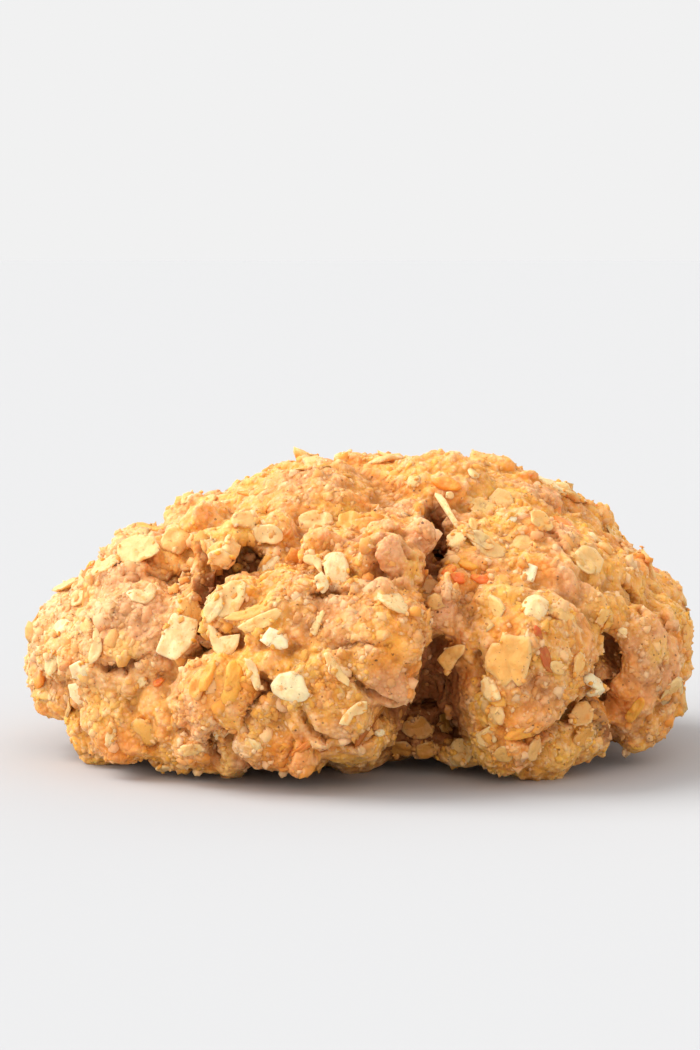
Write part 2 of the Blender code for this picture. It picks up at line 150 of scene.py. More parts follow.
# Fine cracks that only the surface shows: x and y in the view, half width and depth at each turning point.
FINE_CRACKS = {
    "left_dark": [
        (197, 611, 0.50, 1.5), (202, 600, 0.90, 3.5), (206, 589, 1.40, 5.0), (214, 582, 1.30, 5.0),
        (224, 575, 0.90, 4.5), (233, 571, 0.90, 4.5), (244, 562, 1.10, 5.0), (251, 554, 0.90, 4.0),
    ],
    "slanted_side": [
        (199, 614, 0.40, 1.2), (202, 632, 0.55, 2.0), (206, 645, 0.45, 2.4), (197, 650, 0.60, 2.0),
        (188, 659, 0.60, 1.6),
    ],
    "upper_dark": [
        (434, 503, 0.60, 2.0), (438, 516, 1.10, 4.0), (442, 530, 1.30, 5.0), (441, 543, 1.10, 4.5),
        (432, 553, 0.70, 3.0), (426, 566, 0.80, 3.5), (430, 573, 0.50, 2.0),
    ],
    "lump_slot": [
        (424, 646, 0.50, 2.5), (425, 655, 0.70, 3.5), (421, 668, 0.60, 3.0), (420, 684, 0.80, 3.5),
    ],
    "pebble_top": [(374, 541, 0.30, 0.8), (386, 532, 0.35, 1.2), (400, 530, 0.30, 0.8)],
    "pebble_seam": [
        (402, 534, 0.30, 0.8), (406, 546, 0.38, 1.6), (412, 557, 0.38, 1.6), (423, 560, 0.30, 1.0),
    ],
    "pebble_edge": [
        (374, 546, 0.30, 0.8), (368, 556, 0.38, 1.5), (376, 569, 0.38, 1.5), (388, 577, 0.35, 1.2),
        (402, 573, 0.30, 0.8),
    ],
    "foot": [(292, 742, 0.30, 0.8), (289, 754, 0.35, 1.3), (284, 768, 0.35, 1.2)],
    "gap_slot": [(413, 706, 0.45, 2.5), (428, 707, 0.55, 3.0), (446, 707, 0.50, 2.5)],
    "gap_hole": [(428, 688, 0.90, 3.0), (440, 690, 0.90, 3.0)],
    "gap_low": [(441, 724, 0.80, 3.5), (447, 733, 0.90, 3.5)],
    "right_hole": [
        (603, 638, 0.45, 2.5), (606, 646, 0.70, 4.5), (609, 656, 0.80, 5.0), (612, 667, 0.60, 4.0),
        (608, 678, 0.40, 2.0), (596, 700, 0.50, 2.5), (586, 704, 0.60, 3.0),
    ],
    "right_foot": [(596, 716, 0.60, 2.5), (606, 730, 1.00, 3.5), (614, 744, 1.10, 3.5)],
    "upper_right": [(552, 532, 0.30, 0.6), (564, 545, 0.35, 0.9), (577, 562, 0.30, 0.7)],
    "crease": [
        (350, 673, 0.28, 0.6), (358, 684, 0.32, 1.3), (368, 692, 0.32, 1.4), (383, 700, 0.30, 1.2),
        (397, 706, 0.25, 0.7),
    ],
    "lump_foot": [
        (300, 708, 0.30, 0.5), (304, 722, 0.38, 1.2), (313, 735, 0.40, 1.3), (333, 744, 0.42, 1.2),
        (352, 744, 0.42, 1.3), (370, 737, 0.40, 1.2), (386, 724, 0.30, 0.6),
    ],
    "split": [(328, 647, 0.25, 0.4), (345, 645, 0.32, 0.9), (368, 643, 0.30, 0.7), (390, 646, 0.28, 0.4)],
    "curl_side": [
        (262, 676, 0.40, 0.8), (266, 688, 0.65, 2.2), (258, 698, 0.55, 1.8), (250, 708, 0.50, 1.6),
        (246, 722, 0.45, 1.2), (243, 735, 0.40, 0.9),
    ],
    "seam_low": [(213, 735, 0.45, 1.0), (212, 748, 0.60, 2.0), (215, 762, 0.65, 2.0)],
    "cheek_low": [
        (96, 664, 0.35, 0.8), (109, 670, 0.55, 1.8), (124, 670, 0.45, 1.4), (136, 660, 0.40, 1.0),
        (150, 655, 0.30, 0.5),
    ],
    "red_side": [(180, 678, 0.35, 0.8), (178, 688, 0.45, 1.4), (176, 698, 0.35, 0.8)],
    "right_low": [
        (500, 729, 0.40, 1.0), (520, 740, 0.45, 1.2), (540, 738, 0.50, 1.6), (555, 728, 0.55, 2.0),
        (569, 717, 0.60, 2.2), (575, 702, 0.45, 1.2),
    ],
    "right_high": [(624, 584, 0.30, 0.8), (633, 597, 0.40, 1.3), (642, 614, 0.30, 0.8)],
    "far_right": [(660, 612, 0.30, 0.5), (667, 624, 0.35, 0.9), (668, 640, 0.30, 0.6)],
    "brow_top": [(314, 595, 0.35, 0.8), (330, 592, 0.45, 1.4), (347, 590, 0.40, 1.0)],
    "knob_left": [(206, 538, 0.45, 1.0), (202, 552, 0.60, 1.8), (205, 567, 0.60, 2.0)],
    "knob_right": [(243, 542, 0.45, 1.2), (251, 553, 0.60, 2.0)],
    "square_side": [(476, 655, 0.45, 1.2), (480, 675, 0.50, 1.4), (478, 692, 0.45, 1.2)],
    "cheek_high": [(150, 572, 0.35, 0.8), (170, 578, 0.45, 1.2), (190, 574, 0.45, 1.4)],
}

# Steps along a fine crack, in units of the view.
CRACK_STEP = 4

# Lumps of dough stuck on the clods, in sizes from large to small: how many, range of radius, how much
# flatter than round, how far the middle is sunk as a share of the radius, and the seed.
CORE_STEPS = 120
LUMPS = {
    "pebbles": (560, (0.9, 2.1), 0.80, 0.50, 31),
    "grit": (9500, (0.38, 0.90), 0.90, 0.30, 32),
    "chips": (60, (1.2, 2.0), 0.25, 0.0, 34),
}

# The dough's skin: voxel of the remesh, share of one step of smoothing, its triangles, and the patches, cells
# and height of its grit.
DOUGH_CELL = 0.26
DOUGH_SMOOTHING = 0.35
DOUGH_TRIANGLES = 196000
GRIT_PATCH = 5.0
GRIT_CELL = 1.2
GRIT_HEIGHT = 0.30

# Lumps that show: x and y in the view, half length and half height in mm, turn in degrees, and how far the
# top stands out of the core.
SEEN_LUMPS = {
    "pebble": (389, 555, 2.9, 1.9, -28, 2.3),
    "pebble_right": (420, 538, 1.7, 1.8, 0, 2.2),
    "pebble_left": (363, 565, 1.6, 1.3, 10, 1.5),
    "pebble_low": (399, 580, 1.3, 1.0, -20, 1.3),
    "pebble_foot": (429, 590, 1.5, 1.0, -10, 1.3),
    "lump_edge": (414, 625, 1.9, 2.2, 0, 1.0),
    "lump_edge_low": (408, 650, 1.6, 1.5, 0, 0.9),
    "lump_pink": (388, 686, 2.8, 1.9, -32, 1.2),
    "lump_foot": (335, 712, 3.0, 1.5, -15, 0.8),
    "left_lump": (227, 692, 2.2, 3.6, 10, 1.9),
    "left_lump_side": (200, 706, 1.5, 3.0, 5, 1.0),
    "knob": (221, 556, 1.5, 1.5, 0, 1.6),
    "knob_gold": (178, 546, 1.9, 1.6, 0, 1.3),
    "knob_small": (197, 568, 0.9, 0.9, 0, 0.8),
    "shoulder": (262, 560, 2.6, 1.5, 35, 1.2),
    "gap_top": (444, 616, 1.9, 1.9, 0, 0.9),
    "foot": (296, 757, 2.0, 2.3, 20, 1.2),
    "foot_left": (258, 742, 3.0, 2.4, 0, 1.0),
    "toe": (120, 752, 2.4, 1.4, 5, 1.2),
    "left_low": (150, 705, 2.8, 3.2, 0, 0.9),
    "left_bulge": (110, 618, 3.4, 2.6, 15, 0.7),
    "low_right": (556, 757, 3.2, 2.2, 0, 1.0),
    "pile": (472, 755, 2.8, 2.0, 10, 0.8),
    "block_low": (530, 722, 3.0, 1.7, 15, 1.1),
    "block_top": (505, 600, 2.6, 1.9, 0, 0.8),
    "crown": (366, 523, 1.5, 1.2, 0, 0.9),
    "right_high": (600, 605, 2.6, 1.6, -50, 0.8),
    "right_side": (655, 640, 2.4, 3.4, 5, 0.8),
    "right_low": (628, 722, 2.6, 2.4, 0, 0.9),
}

# The view: its size and scale at the aim, the eye's distance, the aim, and how far the eye looks down.
VIEW_SIZE = (700, 1050)
PIXELS_PER_MM = 9.64
VIEW_DISTANCE = 350.0
VIEW_AIM = np.array([-1.05, 1.1, 23.0])
VIEW_RISE = math.radians(5.2)
SENSOR = 36.0


def bit(
    x, y, length, width, turn, tint, lean=(0.0, 0.0), thick=0.55, cup=0.15, bend=0.0, corners=2.2, stand=0.12,
    shade=0.0,
):
    """A flat bit that shows at x, y of the view: millimetres, the turn of its long side in degrees, its tint
    from 0 to 1, the lean of its face to the right and up, how far its rim cups, its long side bends and
    its middle stands out, the roundness of its outline (2 is an ellipse, 5 nearly a rectangle), and its
    shade: how much painted shade darkens it, deep in a crack."""
    return dict(
        x=x, y=y, length=length, width=width, turn=turn, tint=tint, lean=lean, thick=thick, cup=cup,
        bend=bend, corners=corners, stand=stand, shade=shade,
    )


def slab(outline, tint, lean=(0.0, 0.0), thick=0.7, cup=0.1, stand=0.25, shade=0.0):
    """A flat bit drawn in the view by the x, y points of its outline, on a plane through their middle."""
    return dict(outline=outline, tint=tint, lean=lean, thick=thick, cup=cup, stand=stand, shade=shade)


# Flakes drawn by their outlines; a shade is painted shade.
SEEN_SLABS = {
    "square": slab(
        [(485, 656), (492, 643), (500, 643), (503, 632), (516, 636), (533, 634), (532, 655), (527, 676),
         (521, 689), (513, 680), (505, 689), (496, 678), (485, 669)],
        0.68, thick=0.9, stand=0.6,
    ),
    "horn": slab(
        [(438, 659), (447, 648), (459, 644), (467, 645), (465, 653), (457, 660), (453, 668), (448, 674),
         (442, 665)],
        0.66, thick=0.9, stand=0.8,
    ),
    "slanted": slab(
        [(173, 614), (186, 618), (199, 621), (197, 634), (189, 650), (176, 663), (166, 658), (156, 655),
         (162, 634)],
        0.22, thick=0.6, cup=0.2, stand=0.5,
    ),
    "whitest": slab(
        [(270, 627), (280, 631), (288, 641), (289, 648), (280, 650), (267, 646), (259, 640)],
        0.0, thick=0.9,
    ),
    "round_white": slab(
        [(270, 685), (278, 674), (290, 671), (302, 676), (306, 687), (310, 694), (305, 701), (295, 703),
         (280, 699), (272, 693)],
        0.10, cup=-0.2,
    ),
    "upright": slab(
        [(323, 555), (330, 549), (343, 551), (349, 565), (348, 582), (340, 590), (333, 591), (328, 587),
         (324, 569)],
        0.16, thick=1.0, cup=-0.3, stand=0.9,
    ),
    "upright_left": slab(
        [(300, 558), (310, 553), (319, 555), (322, 562), (323, 577), (316, 567), (306, 564)],
        0.30, stand=0.9,
    ),
    "upright_low": slab(
        [(314, 577), (322, 571), (328, 579), (329, 588), (323, 595), (317, 589)],
        0.16, stand=0.6,
    ),
    "plate": slab(
        [(205, 607), (213, 595), (223, 586), (231, 580), (241, 578), (247, 584), (244, 601), (236, 614),
         (220, 616)],
        0.42, thick=0.8, cup=-0.1, stand=0.1,
    ),
    "curl": slab(
        [(245, 657), (252, 659), (259, 673), (262, 687), (256, 690), (249, 675)],
        0.20, thick=0.8, stand=0.3,
    ),
    "sliver": slab(
        [(323, 653), (330, 652), (340, 667), (350, 680), (348, 687), (338, 680), (328, 667)],
        0.40, stand=0.1,
    ),
    "ridge": slab([(310, 633), (313, 621), (323, 609), (325, 614), (316, 638)], 0.36, stand=0.1),
    "lower_rim": slab(
        [(337, 723), (345, 712), (357, 701), (365, 699), (367, 709), (362, 714), (352, 716), (348, 725),
         (341, 724)],
        0.30, cup=0.3,
    ),
    "kidney": slab(
        [(125, 592), (134, 590), (142, 594), (150, 583), (157, 587), (155, 598), (145, 604), (132, 602)],
        0.24, stand=0.2,
    ),
    "double_up": slab(
        [(71, 665), (80, 660), (89, 665), (90, 678), (82, 683), (72, 678)],
        0.10, lean=(0.3, 0.0),
    ),
    "double_low": slab(
        [(69, 684), (82, 682), (91, 686), (89, 699), (80, 705), (71, 696)],
        0.12, lean=(0.3, 0.0),
    ),
    "ledge": slab(
        [(116, 553), (121, 541), (137, 535), (155, 537), (162, 551), (155, 560), (134, 565), (119, 561)],
        0.48, lean=(0.0, 0.15), stand=0.2,
    ),
    "u_shape": slab(
        [(210, 624), (216, 626), (220, 636), (232, 635), (244, 632), (241, 645), (234, 655), (224, 657),
         (215, 650), (210, 637)],
        0.28, cup=0.3, stand=0.9,
    ),
    "hook": slab(
        [(583, 683), (582, 676), (590, 672), (599, 678), (604, 688), (600, 695), (588, 697), (586, 693),
         (593, 689)],
        0.0, lean=(-0.3, 0.0), thick=1.1, stand=0.6,
    ),
    "cream_round": slab(
        [(522, 603), (527, 595), (540, 593), (550, 601), (547, 613), (540, 622), (533, 625), (525, 616)],
        0.22, thick=1.2, cup=-0.3, stand=0.4,
    ),
    "top_long": slab(
        [(468, 533), (477, 530), (494, 542), (508, 551), (504, 558), (490, 561), (477, 553), (470, 542)],
        0.46, lean=(0.0, -0.2), stand=0.4,
    ),
    "white_bar": slab(
        [(521, 566), (529, 563), (538, 567), (536, 575), (533, 585), (527, 583), (523, 575)],
        0.0,
    ),
    "low_cream": slab(
        [(480, 681), (486, 676), (493, 681), (500, 692), (503, 700), (492, 702), (484, 696), (481, 689)],
        0.34, thick=1.0,
    ),
    "low_chunk": slab(
        [(488, 706), (502, 704), (506, 715), (503, 725), (494, 724), (489, 718)],
        0.46, thick=1.4,
    ),
    "pile_high": slab(
        [(476, 734), (492, 724), (497, 742), (485, 746), (478, 741)],
        0.42, thick=0.9, stand=0.4,
    ),
    "pile_low": slab(
        [(451, 756), (462, 752), (478, 758), (482, 763), (470, 767), (456, 763)],
        0.62, shade=0.15,
    ),
    "right_yellow": slab(
        [(574, 553), (582, 545), (594, 549), (603, 560), (600, 573), (588, 576), (577, 567)],
        0.50, stand=0.0,
    ),
    "top_yellow": slab([(488, 498), (497, 490), (510, 493), (514, 505), (504, 511), (492, 508)], 0.48),
    "top_yellow_left": slab([(473, 508), (480, 502), (488, 505), (487, 515), (478, 517)], 0.56, stand=0.1),
}

# Flakes given by their size and turn; a shade is painted shade, for those deep in the dough.
SEEN_FLAKES = {
    "behind_slanted": bit(190, 609, 4.0, 2.2, 100, 0.62, stand=0.0),
    "plate_low": bit(214, 609, 3.0, 1.8, 55, 0.36, stand=0.0),
    "strap": bit(255, 613, 6.2, 1.3, 20, 0.76, bend=0.08, stand=0.1),
    "strap_low": bit(261, 622, 4.8, 1.4, 24, 0.52, bend=0.06),
    "amber_spot": bit(330, 690, 3.0, 1.6, -30, 0.80, stand=-0.25),
    "crescent": bit(98, 648, 3.9, 1.3, 78, 0.30, bend=0.15),
    "ledge_left": bit(104, 566, 3.4, 2.2, 30, 0.40, stand=0.0),
    "knob": bit(229, 548, 2.5, 2.1, 80, 0.45, thick=1.5),
    "knob_low": bit(220, 557, 2.4, 2.1, 10, 0.40, thick=1.4, corners=2.8),
    "kernel": bit(95, 715, 1.7, 1.4, 10, 0.60, thick=1.2),
    "small_kernel": bit(142, 682, 1.2, 1.1, 60, 0.30, thick=1.0),
    "orange_edge": bit(199, 686, 3.2, 1.5, 75, 0.82, thick=0.9),
    "foot_pale": bit(221, 731, 1.8, 1.5, 60, 0.22, thick=0.8),
    "bottom_bit": bit(165, 766, 2.0, 1.2, 0, 0.35, stand=0.3),
    "pale_green": bit(192, 748, 2.4, 1.5, 10, 0.48),
    "pale_streak": bit(112, 736, 2.6, 1.0, 80, 0.30),
    "cream_right": bit(561, 614, 2.9, 2.0, 0, 0.56, thick=0.8),
    "amber": bit(500, 582, 3.0, 1.6, -50, 0.86),
    "pale_dot": bit(622, 631, 1.0, 0.9, 0, 0.30, thick=0.8),
    "tan_small": bit(557, 667, 1.8, 1.2, -20, 0.50, thick=0.7),
    "tan_upright": bit(577, 665, 2.9, 1.4, 85, 0.60, thick=0.7),
    "pile_left": bit(464, 751, 3.5, 2.7, 50, 0.50, lean=(-0.3, 0.2), stand=0.3),
    "pile_right": bit(506, 752, 3.0, 1.9, 20, 0.62, stand=0.2),
    "pile_edge": bit(455, 767, 2.6, 1.4, -30, 0.42, stand=0.2, shade=0.25),
    "pile_back": bit(533, 748, 2.6, 2.0, 60, 0.60, shade=0.25),
    "cleft_high": bit(581, 715, 2.8, 2.2, 70, 0.60, stand=0.3, shade=0.25),
    "cleft_low": bit(583, 737, 2.4, 1.9, 20, 0.74, shade=0.25),
    "right_edge": bit(684, 634, 3.6, 2.2, 80, 0.70, thick=0.9, stand=0.3),
    "green_right": bit(602, 616, 1.9, 1.1, 70, 0.60),
    "top_pale": bit(457, 542, 2.6, 2.2, -30, 0.44, stand=0.2),
    "top_long_back": bit(477, 540, 3.8, 1.8, -35, 0.46, stand=0.3),
    "top_blob": bit(519, 545, 3.2, 2.6, 0, 0.50, thick=0.9),
    "top_dull": bit(483, 509, 2.8, 2.8, 10, 0.55),
    "top_tan": bit(540, 521, 3.0, 2.0, -35, 0.60),
    "top_fleck": bit(512, 520, 1.0, 0.9, 0, 0.0, thick=0.7),
    "crown_cream": bit(316, 522, 3.6, 2.8, 10, 0.46, thick=1.1, stand=0.0),
    "crown_orange": bit(350, 523, 2.9, 2.8, 0, 0.76, thick=0.9),
    "crown_left": bit(244, 521, 2.4, 2.2, 20, 0.50, thick=0.8),
    "crown_low": bit(268, 535, 3.1, 2.2, 0, 0.36),
    "gold_lump": bit(176, 543, 3.2, 3.0, 20, 0.62, thick=1.3),
    "white_brow": bit(271, 564, 2.2, 1.4, 50, 0.12, thick=0.9, stand=-0.1),
    "left_spot": bit(34, 620, 1.6, 1.4, 0, 0.50, thick=0.9),
    "left_pale": bit(62, 628, 2.6, 2.0, 30, 0.14),
    "left_high": bit(78, 598, 2.4, 2.0, 60, 0.40, stand=0.0),
    "left_low": bit(52, 664, 2.6, 1.6, 80, 0.22),
    "cavity_high": bit(418, 727, 3.2, 2.4, 0, 0.92, stand=0.3, shade=0.45),
    "cavity_right": bit(443, 722, 2.8, 1.8, 85, 0.80, stand=0.3, shade=0.45),
    "cavity_left": bit(400, 745, 3.0, 2.0, -20, 0.95, stand=0.3, shade=0.45),
    "cavity_low": bit(428, 748, 2.6, 1.8, 15, 0.85, stand=0.3, shade=0.45),
    "shaded": bit(427, 588, 3.2, 1.8, -10, 0.60, shade=0.6),
}

# Bits of carrot and their stains; a shade is painted shade.
SEEN_CARROT = {
    "bright_left": bit(449, 571, 1.8, 1.2, 35, 0.90, thick=0.9, stand=-0.08),
    "bright_middle": bit(458, 578, 1.8, 1.1, -20, 0.95, thick=0.9, stand=-0.08),
    "bright_right": bit(482, 580, 2.6, 1.1, -12, 0.9, thick=0.8, stand=-0.08),
    "bright_patch": bit(501, 582, 2.2, 1.3, -40, 0.30, thick=0.8, stand=0.0),
    "pale_top": bit(467, 563, 2.8, 1.4, -25, 0.30, thick=1.0, stand=-0.1),
    "foot": bit(289, 757, 3.8, 1.9, 60, 0.55, thick=1.3, stand=-0.40, shade=0.25),
    "foot_top": bit(302, 748, 2.8, 0.8, 40, 0.65, thick=0.8, stand=0.0, shade=0.35),
    "red_dot": bit(159, 682, 1.3, 0.8, 25, 1.0, thick=0.8, shade=0.2),
    "brown_streak": bit(543, 649, 4.8, 1.2, 108, 1.0, thick=0.5, stand=-0.12, shade=0.7),
    "amber_zone": bit(231, 682, 4.6, 2.4, 78, 0.15, thick=1.4, cup=-0.3, stand=-0.45),
    "amber_left": bit(209, 676, 3.2, 1.4, 70, 0.30, thick=1.0),
    "orange_band": bit(523, 733, 3.6, 1.3, 15, 0.35, thick=0.9, stand=-0.15),
    "far_right": bit(635, 711, 3.2, 1.3, 60, 0.25, thick=0.8, stand=-0.1),
    "crown": bit(446, 484, 3.0, 1.6, -20, 0.55, thick=0.9),
}

# The pale stick and the small pale bits near it.
SEEN_SLIVERS = {
    "stick": bit(
        450, 514, 5.4, 0.75, -60, 0.30, lean=(0.0, -0.4), thick=0.7, cup=0.0, stand=0.7, corners=5.0,
    ),
    "stick_top": bit(449, 496, 1.0, 0.9, 0, 0.25, thick=0.9, stand=0.5),
    "stub": bit(473, 527, 1.8, 1.0, -70, 0.55, thick=0.8, stand=0.3),
    "bead": bit(377, 733, 0.9, 0.8, 0, 0.0, thick=0.8, stand=0.3),
}

# Flakes and shreds on the rest of the cookie. Flakes: how many are tried, length, width as a share of it, and
# seed. Shreds: how many are tried, length, width, and seed.
MORE_FLAKES = (460, (2.2, 4.6), (0.60, 0.90), 51)
MORE_SHREDS = (44, (4.5, 11.0), (0.9, 1.5), 61)
SHRED_STEPS = 12
SHRED_SIDES = 8

# Rings of a flake's face, as shares of its radius: for those that show near, and for those all round.
FLAKE_RINGS = (0.3, 0.58, 0.80, 0.94, 1.0)
PLAIN_RINGS = (0.72, 1.0)

# Where they lie: lowest heights, least gaps to the named ones, how far down the dough may face, where the
# front begins that has fewer and what share it lacks, and from how far above the mound they are let down.
FLAKES_FROM = 2.0
SHREDS_FROM = 1.5
FLAKE_GAP = 3.5
SHRED_GAP = 2.2
OVERHANG = -0.5
FRONT_Y = -4.0
FRONT_MIDDLE_Y = -12.0
FRONT_SPARED = 0.45
ABOVE = 20.0

# Loose bits of dough: how many, range of radius, how far sunk, and seed.
CRUMBS = (3900, (0.30, 0.80), 0.35, 71)
GRAINS = (7900, (0.20, 0.42), 0.25, 72)
HOLLOW_SPARED = 0.8

# Share of the points on the edges of flakes where a crumb clings: drawn ones, other named ones, seeded ones.
RIM_SHARES = (0.03, 0.08, 0.18)

# Painted shade in the hollows and painted highlight on the peaks: steps of averaging over neighbours
# that give the dough close by and the dough round it, and in mm where each kind begins and over what
# depth it grows.
NEAR_STEPS = 5
FAR_STEPS = 60
PIT_DEPTH = 0.24
PEAK_HEIGHT = 0.30
DIP_FROM = 0.12
DIP_DEPTH = 0.8
DEEP_FROM = 1.6
DEEP_DEPTH = 3.2
# Depth in mm of a fine crack at which its painted shade is full.
CRACK_DARK = 3.2

# Painted light on the left, which is painted paler: where that starts, over how much it grows, and its most.
LEFT_START = 12
LEFT_REACH = 22
LEFT_PAINTED_LIGHT = 0.62

# Zones of colour on the dough: x and y in the view, reach in mm, and how strong.
WARM_ZONES = {
    "left_lump": (224, 692, 3.2, 0.60),
    "left_lump_right": (247, 690, 1.5, 1.0),
    "left_lump_left": (202, 693, 1.4, 0.9),
    "behind_slanted": (190, 612, 1.2, 0.8),
    "left_foot": (120, 752, 2.4, 0.9),
    "foot": (286, 760, 2.6, 1.0),
    "amber": (332, 690, 1.6, 0.6),
    "lump_right": (388, 655, 1.8, 0.7),
    "lump_edge": (410, 634, 2.2, 0.5),
    "crown": (366, 522, 1.8, 0.9),
    "crown_low": (322, 543, 1.6, 0.5),
    "gold_side": (160, 552, 2.0, 0.5),
    "bright": (454, 576, 1.7, 0.9),
    "bright_right": (488, 578, 1.8, 0.9),
    "above_bright": (470, 560, 1.6, 0.6),
    "block_low": (520, 736, 2.6, 0.9),
    "block_side": (463, 680, 1.6, 0.8),
    "gap_floor": (410, 735, 2.6, 0.8),
    "right_low": (622, 702, 2.6, 0.7),
    "left_low": (150, 738, 3.0, 0.4),
    "right_edge": (688, 640, 2.0, 0.4),
    "block_top": (505, 620, 2.4, 0.4),
}
GOLD_ZONES = {
    "left_lump": (226, 668, 2.6, 0.9),
    "strap": (258, 618, 2.4, 0.8),
    "knob": (238, 532, 2.2, 0.8),
    "crown": (350, 516, 1.8, 0.9),
    "gold_lump": (178, 545, 2.4, 0.8),
    "knob_low": (221, 556, 1.8, 0.7),
    "top_right": (500, 503, 3.2, 0.7),
    "right_shoulder": (590, 562, 2.6, 0.6),
    "right_edge": (686, 622, 3.0, 0.7),
    "pile": (475, 758, 3.2, 0.8),
    "block_left": (492, 712, 2.0, 0.7),
    "block_top": (505, 596, 3.0, 0.6),
    "right_lump": (602, 610, 2.6, 0.6),
    "left_edge": (34, 618, 1.6, 0.7),
    "left_mid": (100, 716, 2.2, 0.5),
    "bottom_right": (560, 760, 3.0, 0.5),
    "lump_low": (345, 700, 2.0, 0.5),
    "lump_right": (398, 652, 1.4, 0.9),
    "upper_left": (205, 530, 2.6, 0.6),
    "far_right": (640, 590, 2.4, 0.6),
    "middle": (310, 660, 2.0, 0.5),
}
PINK_ZONES = {
    "pebble": (393, 553, 3.0, 0.9),
    "pebble_right": (422, 538, 2.2, 0.9),
    "left_cheek": (125, 625, 4.6, 0.8),
    "left_top": (120, 582, 3.0, 0.6),
    "crease": (388, 690, 2.4, 1.0),
    "brow": (330, 612, 3.6, 0.45),
    "right_shoulder": (585, 595, 4.0, 0.6),
    "far_right": (662, 665, 5.0, 0.7),
    "top_right": (565, 535, 3.4, 0.6),
    "gap_wall": (445, 612, 2.4, 0.8),
    "left_low": (200, 735, 3.0, 0.6),
    "bottom": (245, 765, 3.0, 0.5),
    "block": (535, 690, 3.0, 0.5),
    "left_step": (150, 655, 2.4, 0.6),
    "top": (300, 480, 5.0, 0.4),
}

# What the dough knows at each vertex, read by its colours and by the crumbs on it: painted shade, zones
# of colour, and painted light.
VALUES = ("hollow", "warmth", "gold", "pinkness", "painted_left_light")

# Colours, and the tints of flakes and carrot from 0 to 1.
TAN = (0.83, 0.330, 0.050)
GOLD = (0.90, 0.390, 0.048)
PINK_BROWN = (0.70, 0.295, 0.115)
CREAM = (0.96, 0.61, 0.34)
YELLOW = (0.92, 0.46, 0.055)
CARROT_STAIN = (0.83, 0.25, 0.016)
# Painted shade: the brown that hollows and cracks, and the bits deep in them, are darkened towards.
PAINTED_SHADE_BROWN = (0.26, 0.072, 0.008)
SPICE = (0.10, 0.035, 0.013)
OAT_TINTS = [
    (0.00, (0.88, 0.72, 0.44)),
    (0.20, (0.88, 0.62, 0.31)),
    (0.50, (0.86, 0.49, 0.17)),
    (0.75, (0.82, 0.37, 0.06)),
    (1.00, (0.64, 0.26, 0.035)),
]
CARROT_TINTS = [
    (0.0, (0.88, 0.45, 0.06)),
    (0.5, (0.86, 0.27, 0.025)),
    (1.0, (0.84, 0.15, 0.015)),
]

# Spice specks: size of the cells that hold one each, its largest radius as a share of that, and how dark.
SPECKS = ((0.6, 0.22, 0.60), (1.5, 0.11, 0.85))

# Floor and light.
FLOOR_SIDE = 8000.0
FLOOR_COLOUR = (0.498, 0.508, 0.526)
WORLD_STRENGTH = 0.88

# Sun lamps: where each shines from, strength, angle across in degrees, colour.
LAMPS = {
    "key": ((-0.33, 0.08, 0.36), 2.75, 40, (1.0, 0.98, 0.95)),
    "side": ((-0.42, -0.16, 0.16), 1.0, 40, (1.0, 0.96, 0.90)),
    "front": ((0.05, -0.45, 0.10), 0.75, 60, (1.0, 0.86, 0.66)),
    "back": ((0.20, 0.42, 0.15), 0.6, 60, (1.0, 0.90, 0.75)),
}


# ---------------------------------------------------------------- arithmetic on arrays of points


def unit(v):
    """Vectors divided by their lengths."""
    return v / np.maximum(np.linalg.norm(v, axis=-1, keepdims=True), 1e-12)


def towards(bearing, height):
    """Direction that lands on the mound at this bearing and height."""
    t = (height - WAIST) / (UP if height > WAIST else DOWN)
    rise = math.copysign(min(abs(t), 1.0) ** (1 / (ROUND_UP if t > 0 else ROUND_DOWN)), t)
    flat = math.sqrt(max(1 - rise * rise, 0.0))
    b = math.radians(bearing)
    return np.array([math.sin(b) * flat, -math.cos(b) * flat, rise])


def mound(d):
    """Points and normals of the mound: radius is cos(rise) ** ROUND_SIDE, height sin(rise) ** its power."""
    d = np.atleast_2d(d)
    flat = np.maximum(np.hypot(d[:, 0], d[:, 1]), 1e-6)
    above = d[:, 2] > 0
    power = np.where(above, ROUND_UP, ROUND_DOWN)
    high = np.where(above, UP, DOWN)
    radius = flat**ROUND_SIDE
    z = np.sign(d[:, 2]) * np.abs(d[:, 2]) ** power
    ux, uy = d[:, 0] / flat, d[:, 1] / flat
    points = np.stack([ux * radius * HALF_WIDTH, uy * radius * HALF_DEPTH, WAIST + z * high], 1)
    out = 2 / ROUND_SIDE * radius ** (2 / ROUND_SIDE - 1)
    rise = 2 / power * np.maximum(np.abs(z), 1e-6) ** (2 / power - 1)
    normals = np.stack([ux * out / HALF_WIDTH, uy * out / HALF_DEPTH, np.sign(z) * rise / high], 1)
    points[:, 0] += LEAN * np.maximum(points[:, 2] - WAIST, 0)
    return points, unit(normals)


def over_mound(p):
    """How far points stand out of the mound, from its implicit form divided by the form's slope."""
    q = p - CENTRE_SHIFT
    x = q[:, 0] - LEAN * np.maximum(q[:, 2] - WAIST, 0)
    above = q[:, 2] > WAIST
    power = 2 / np.where(above, ROUND_UP, ROUND_DOWN)
    high = np.where(above, UP, DOWN)
    side = 2 / ROUND_SIDE
    r = np.maximum(np.hypot(x / HALF_WIDTH, q[:, 1] / HALF_DEPTH), 1e-4)
    z = np.maximum(np.abs(q[:, 2] - WAIST) / high, 1e-4)
    form = r**side + z**power - 1
    slope = np.hypot(side * r ** (side - 1) / HALF_DEPTH, power * z ** (power - 1) / high)
    return form / np.maximum(slope, 0.03)


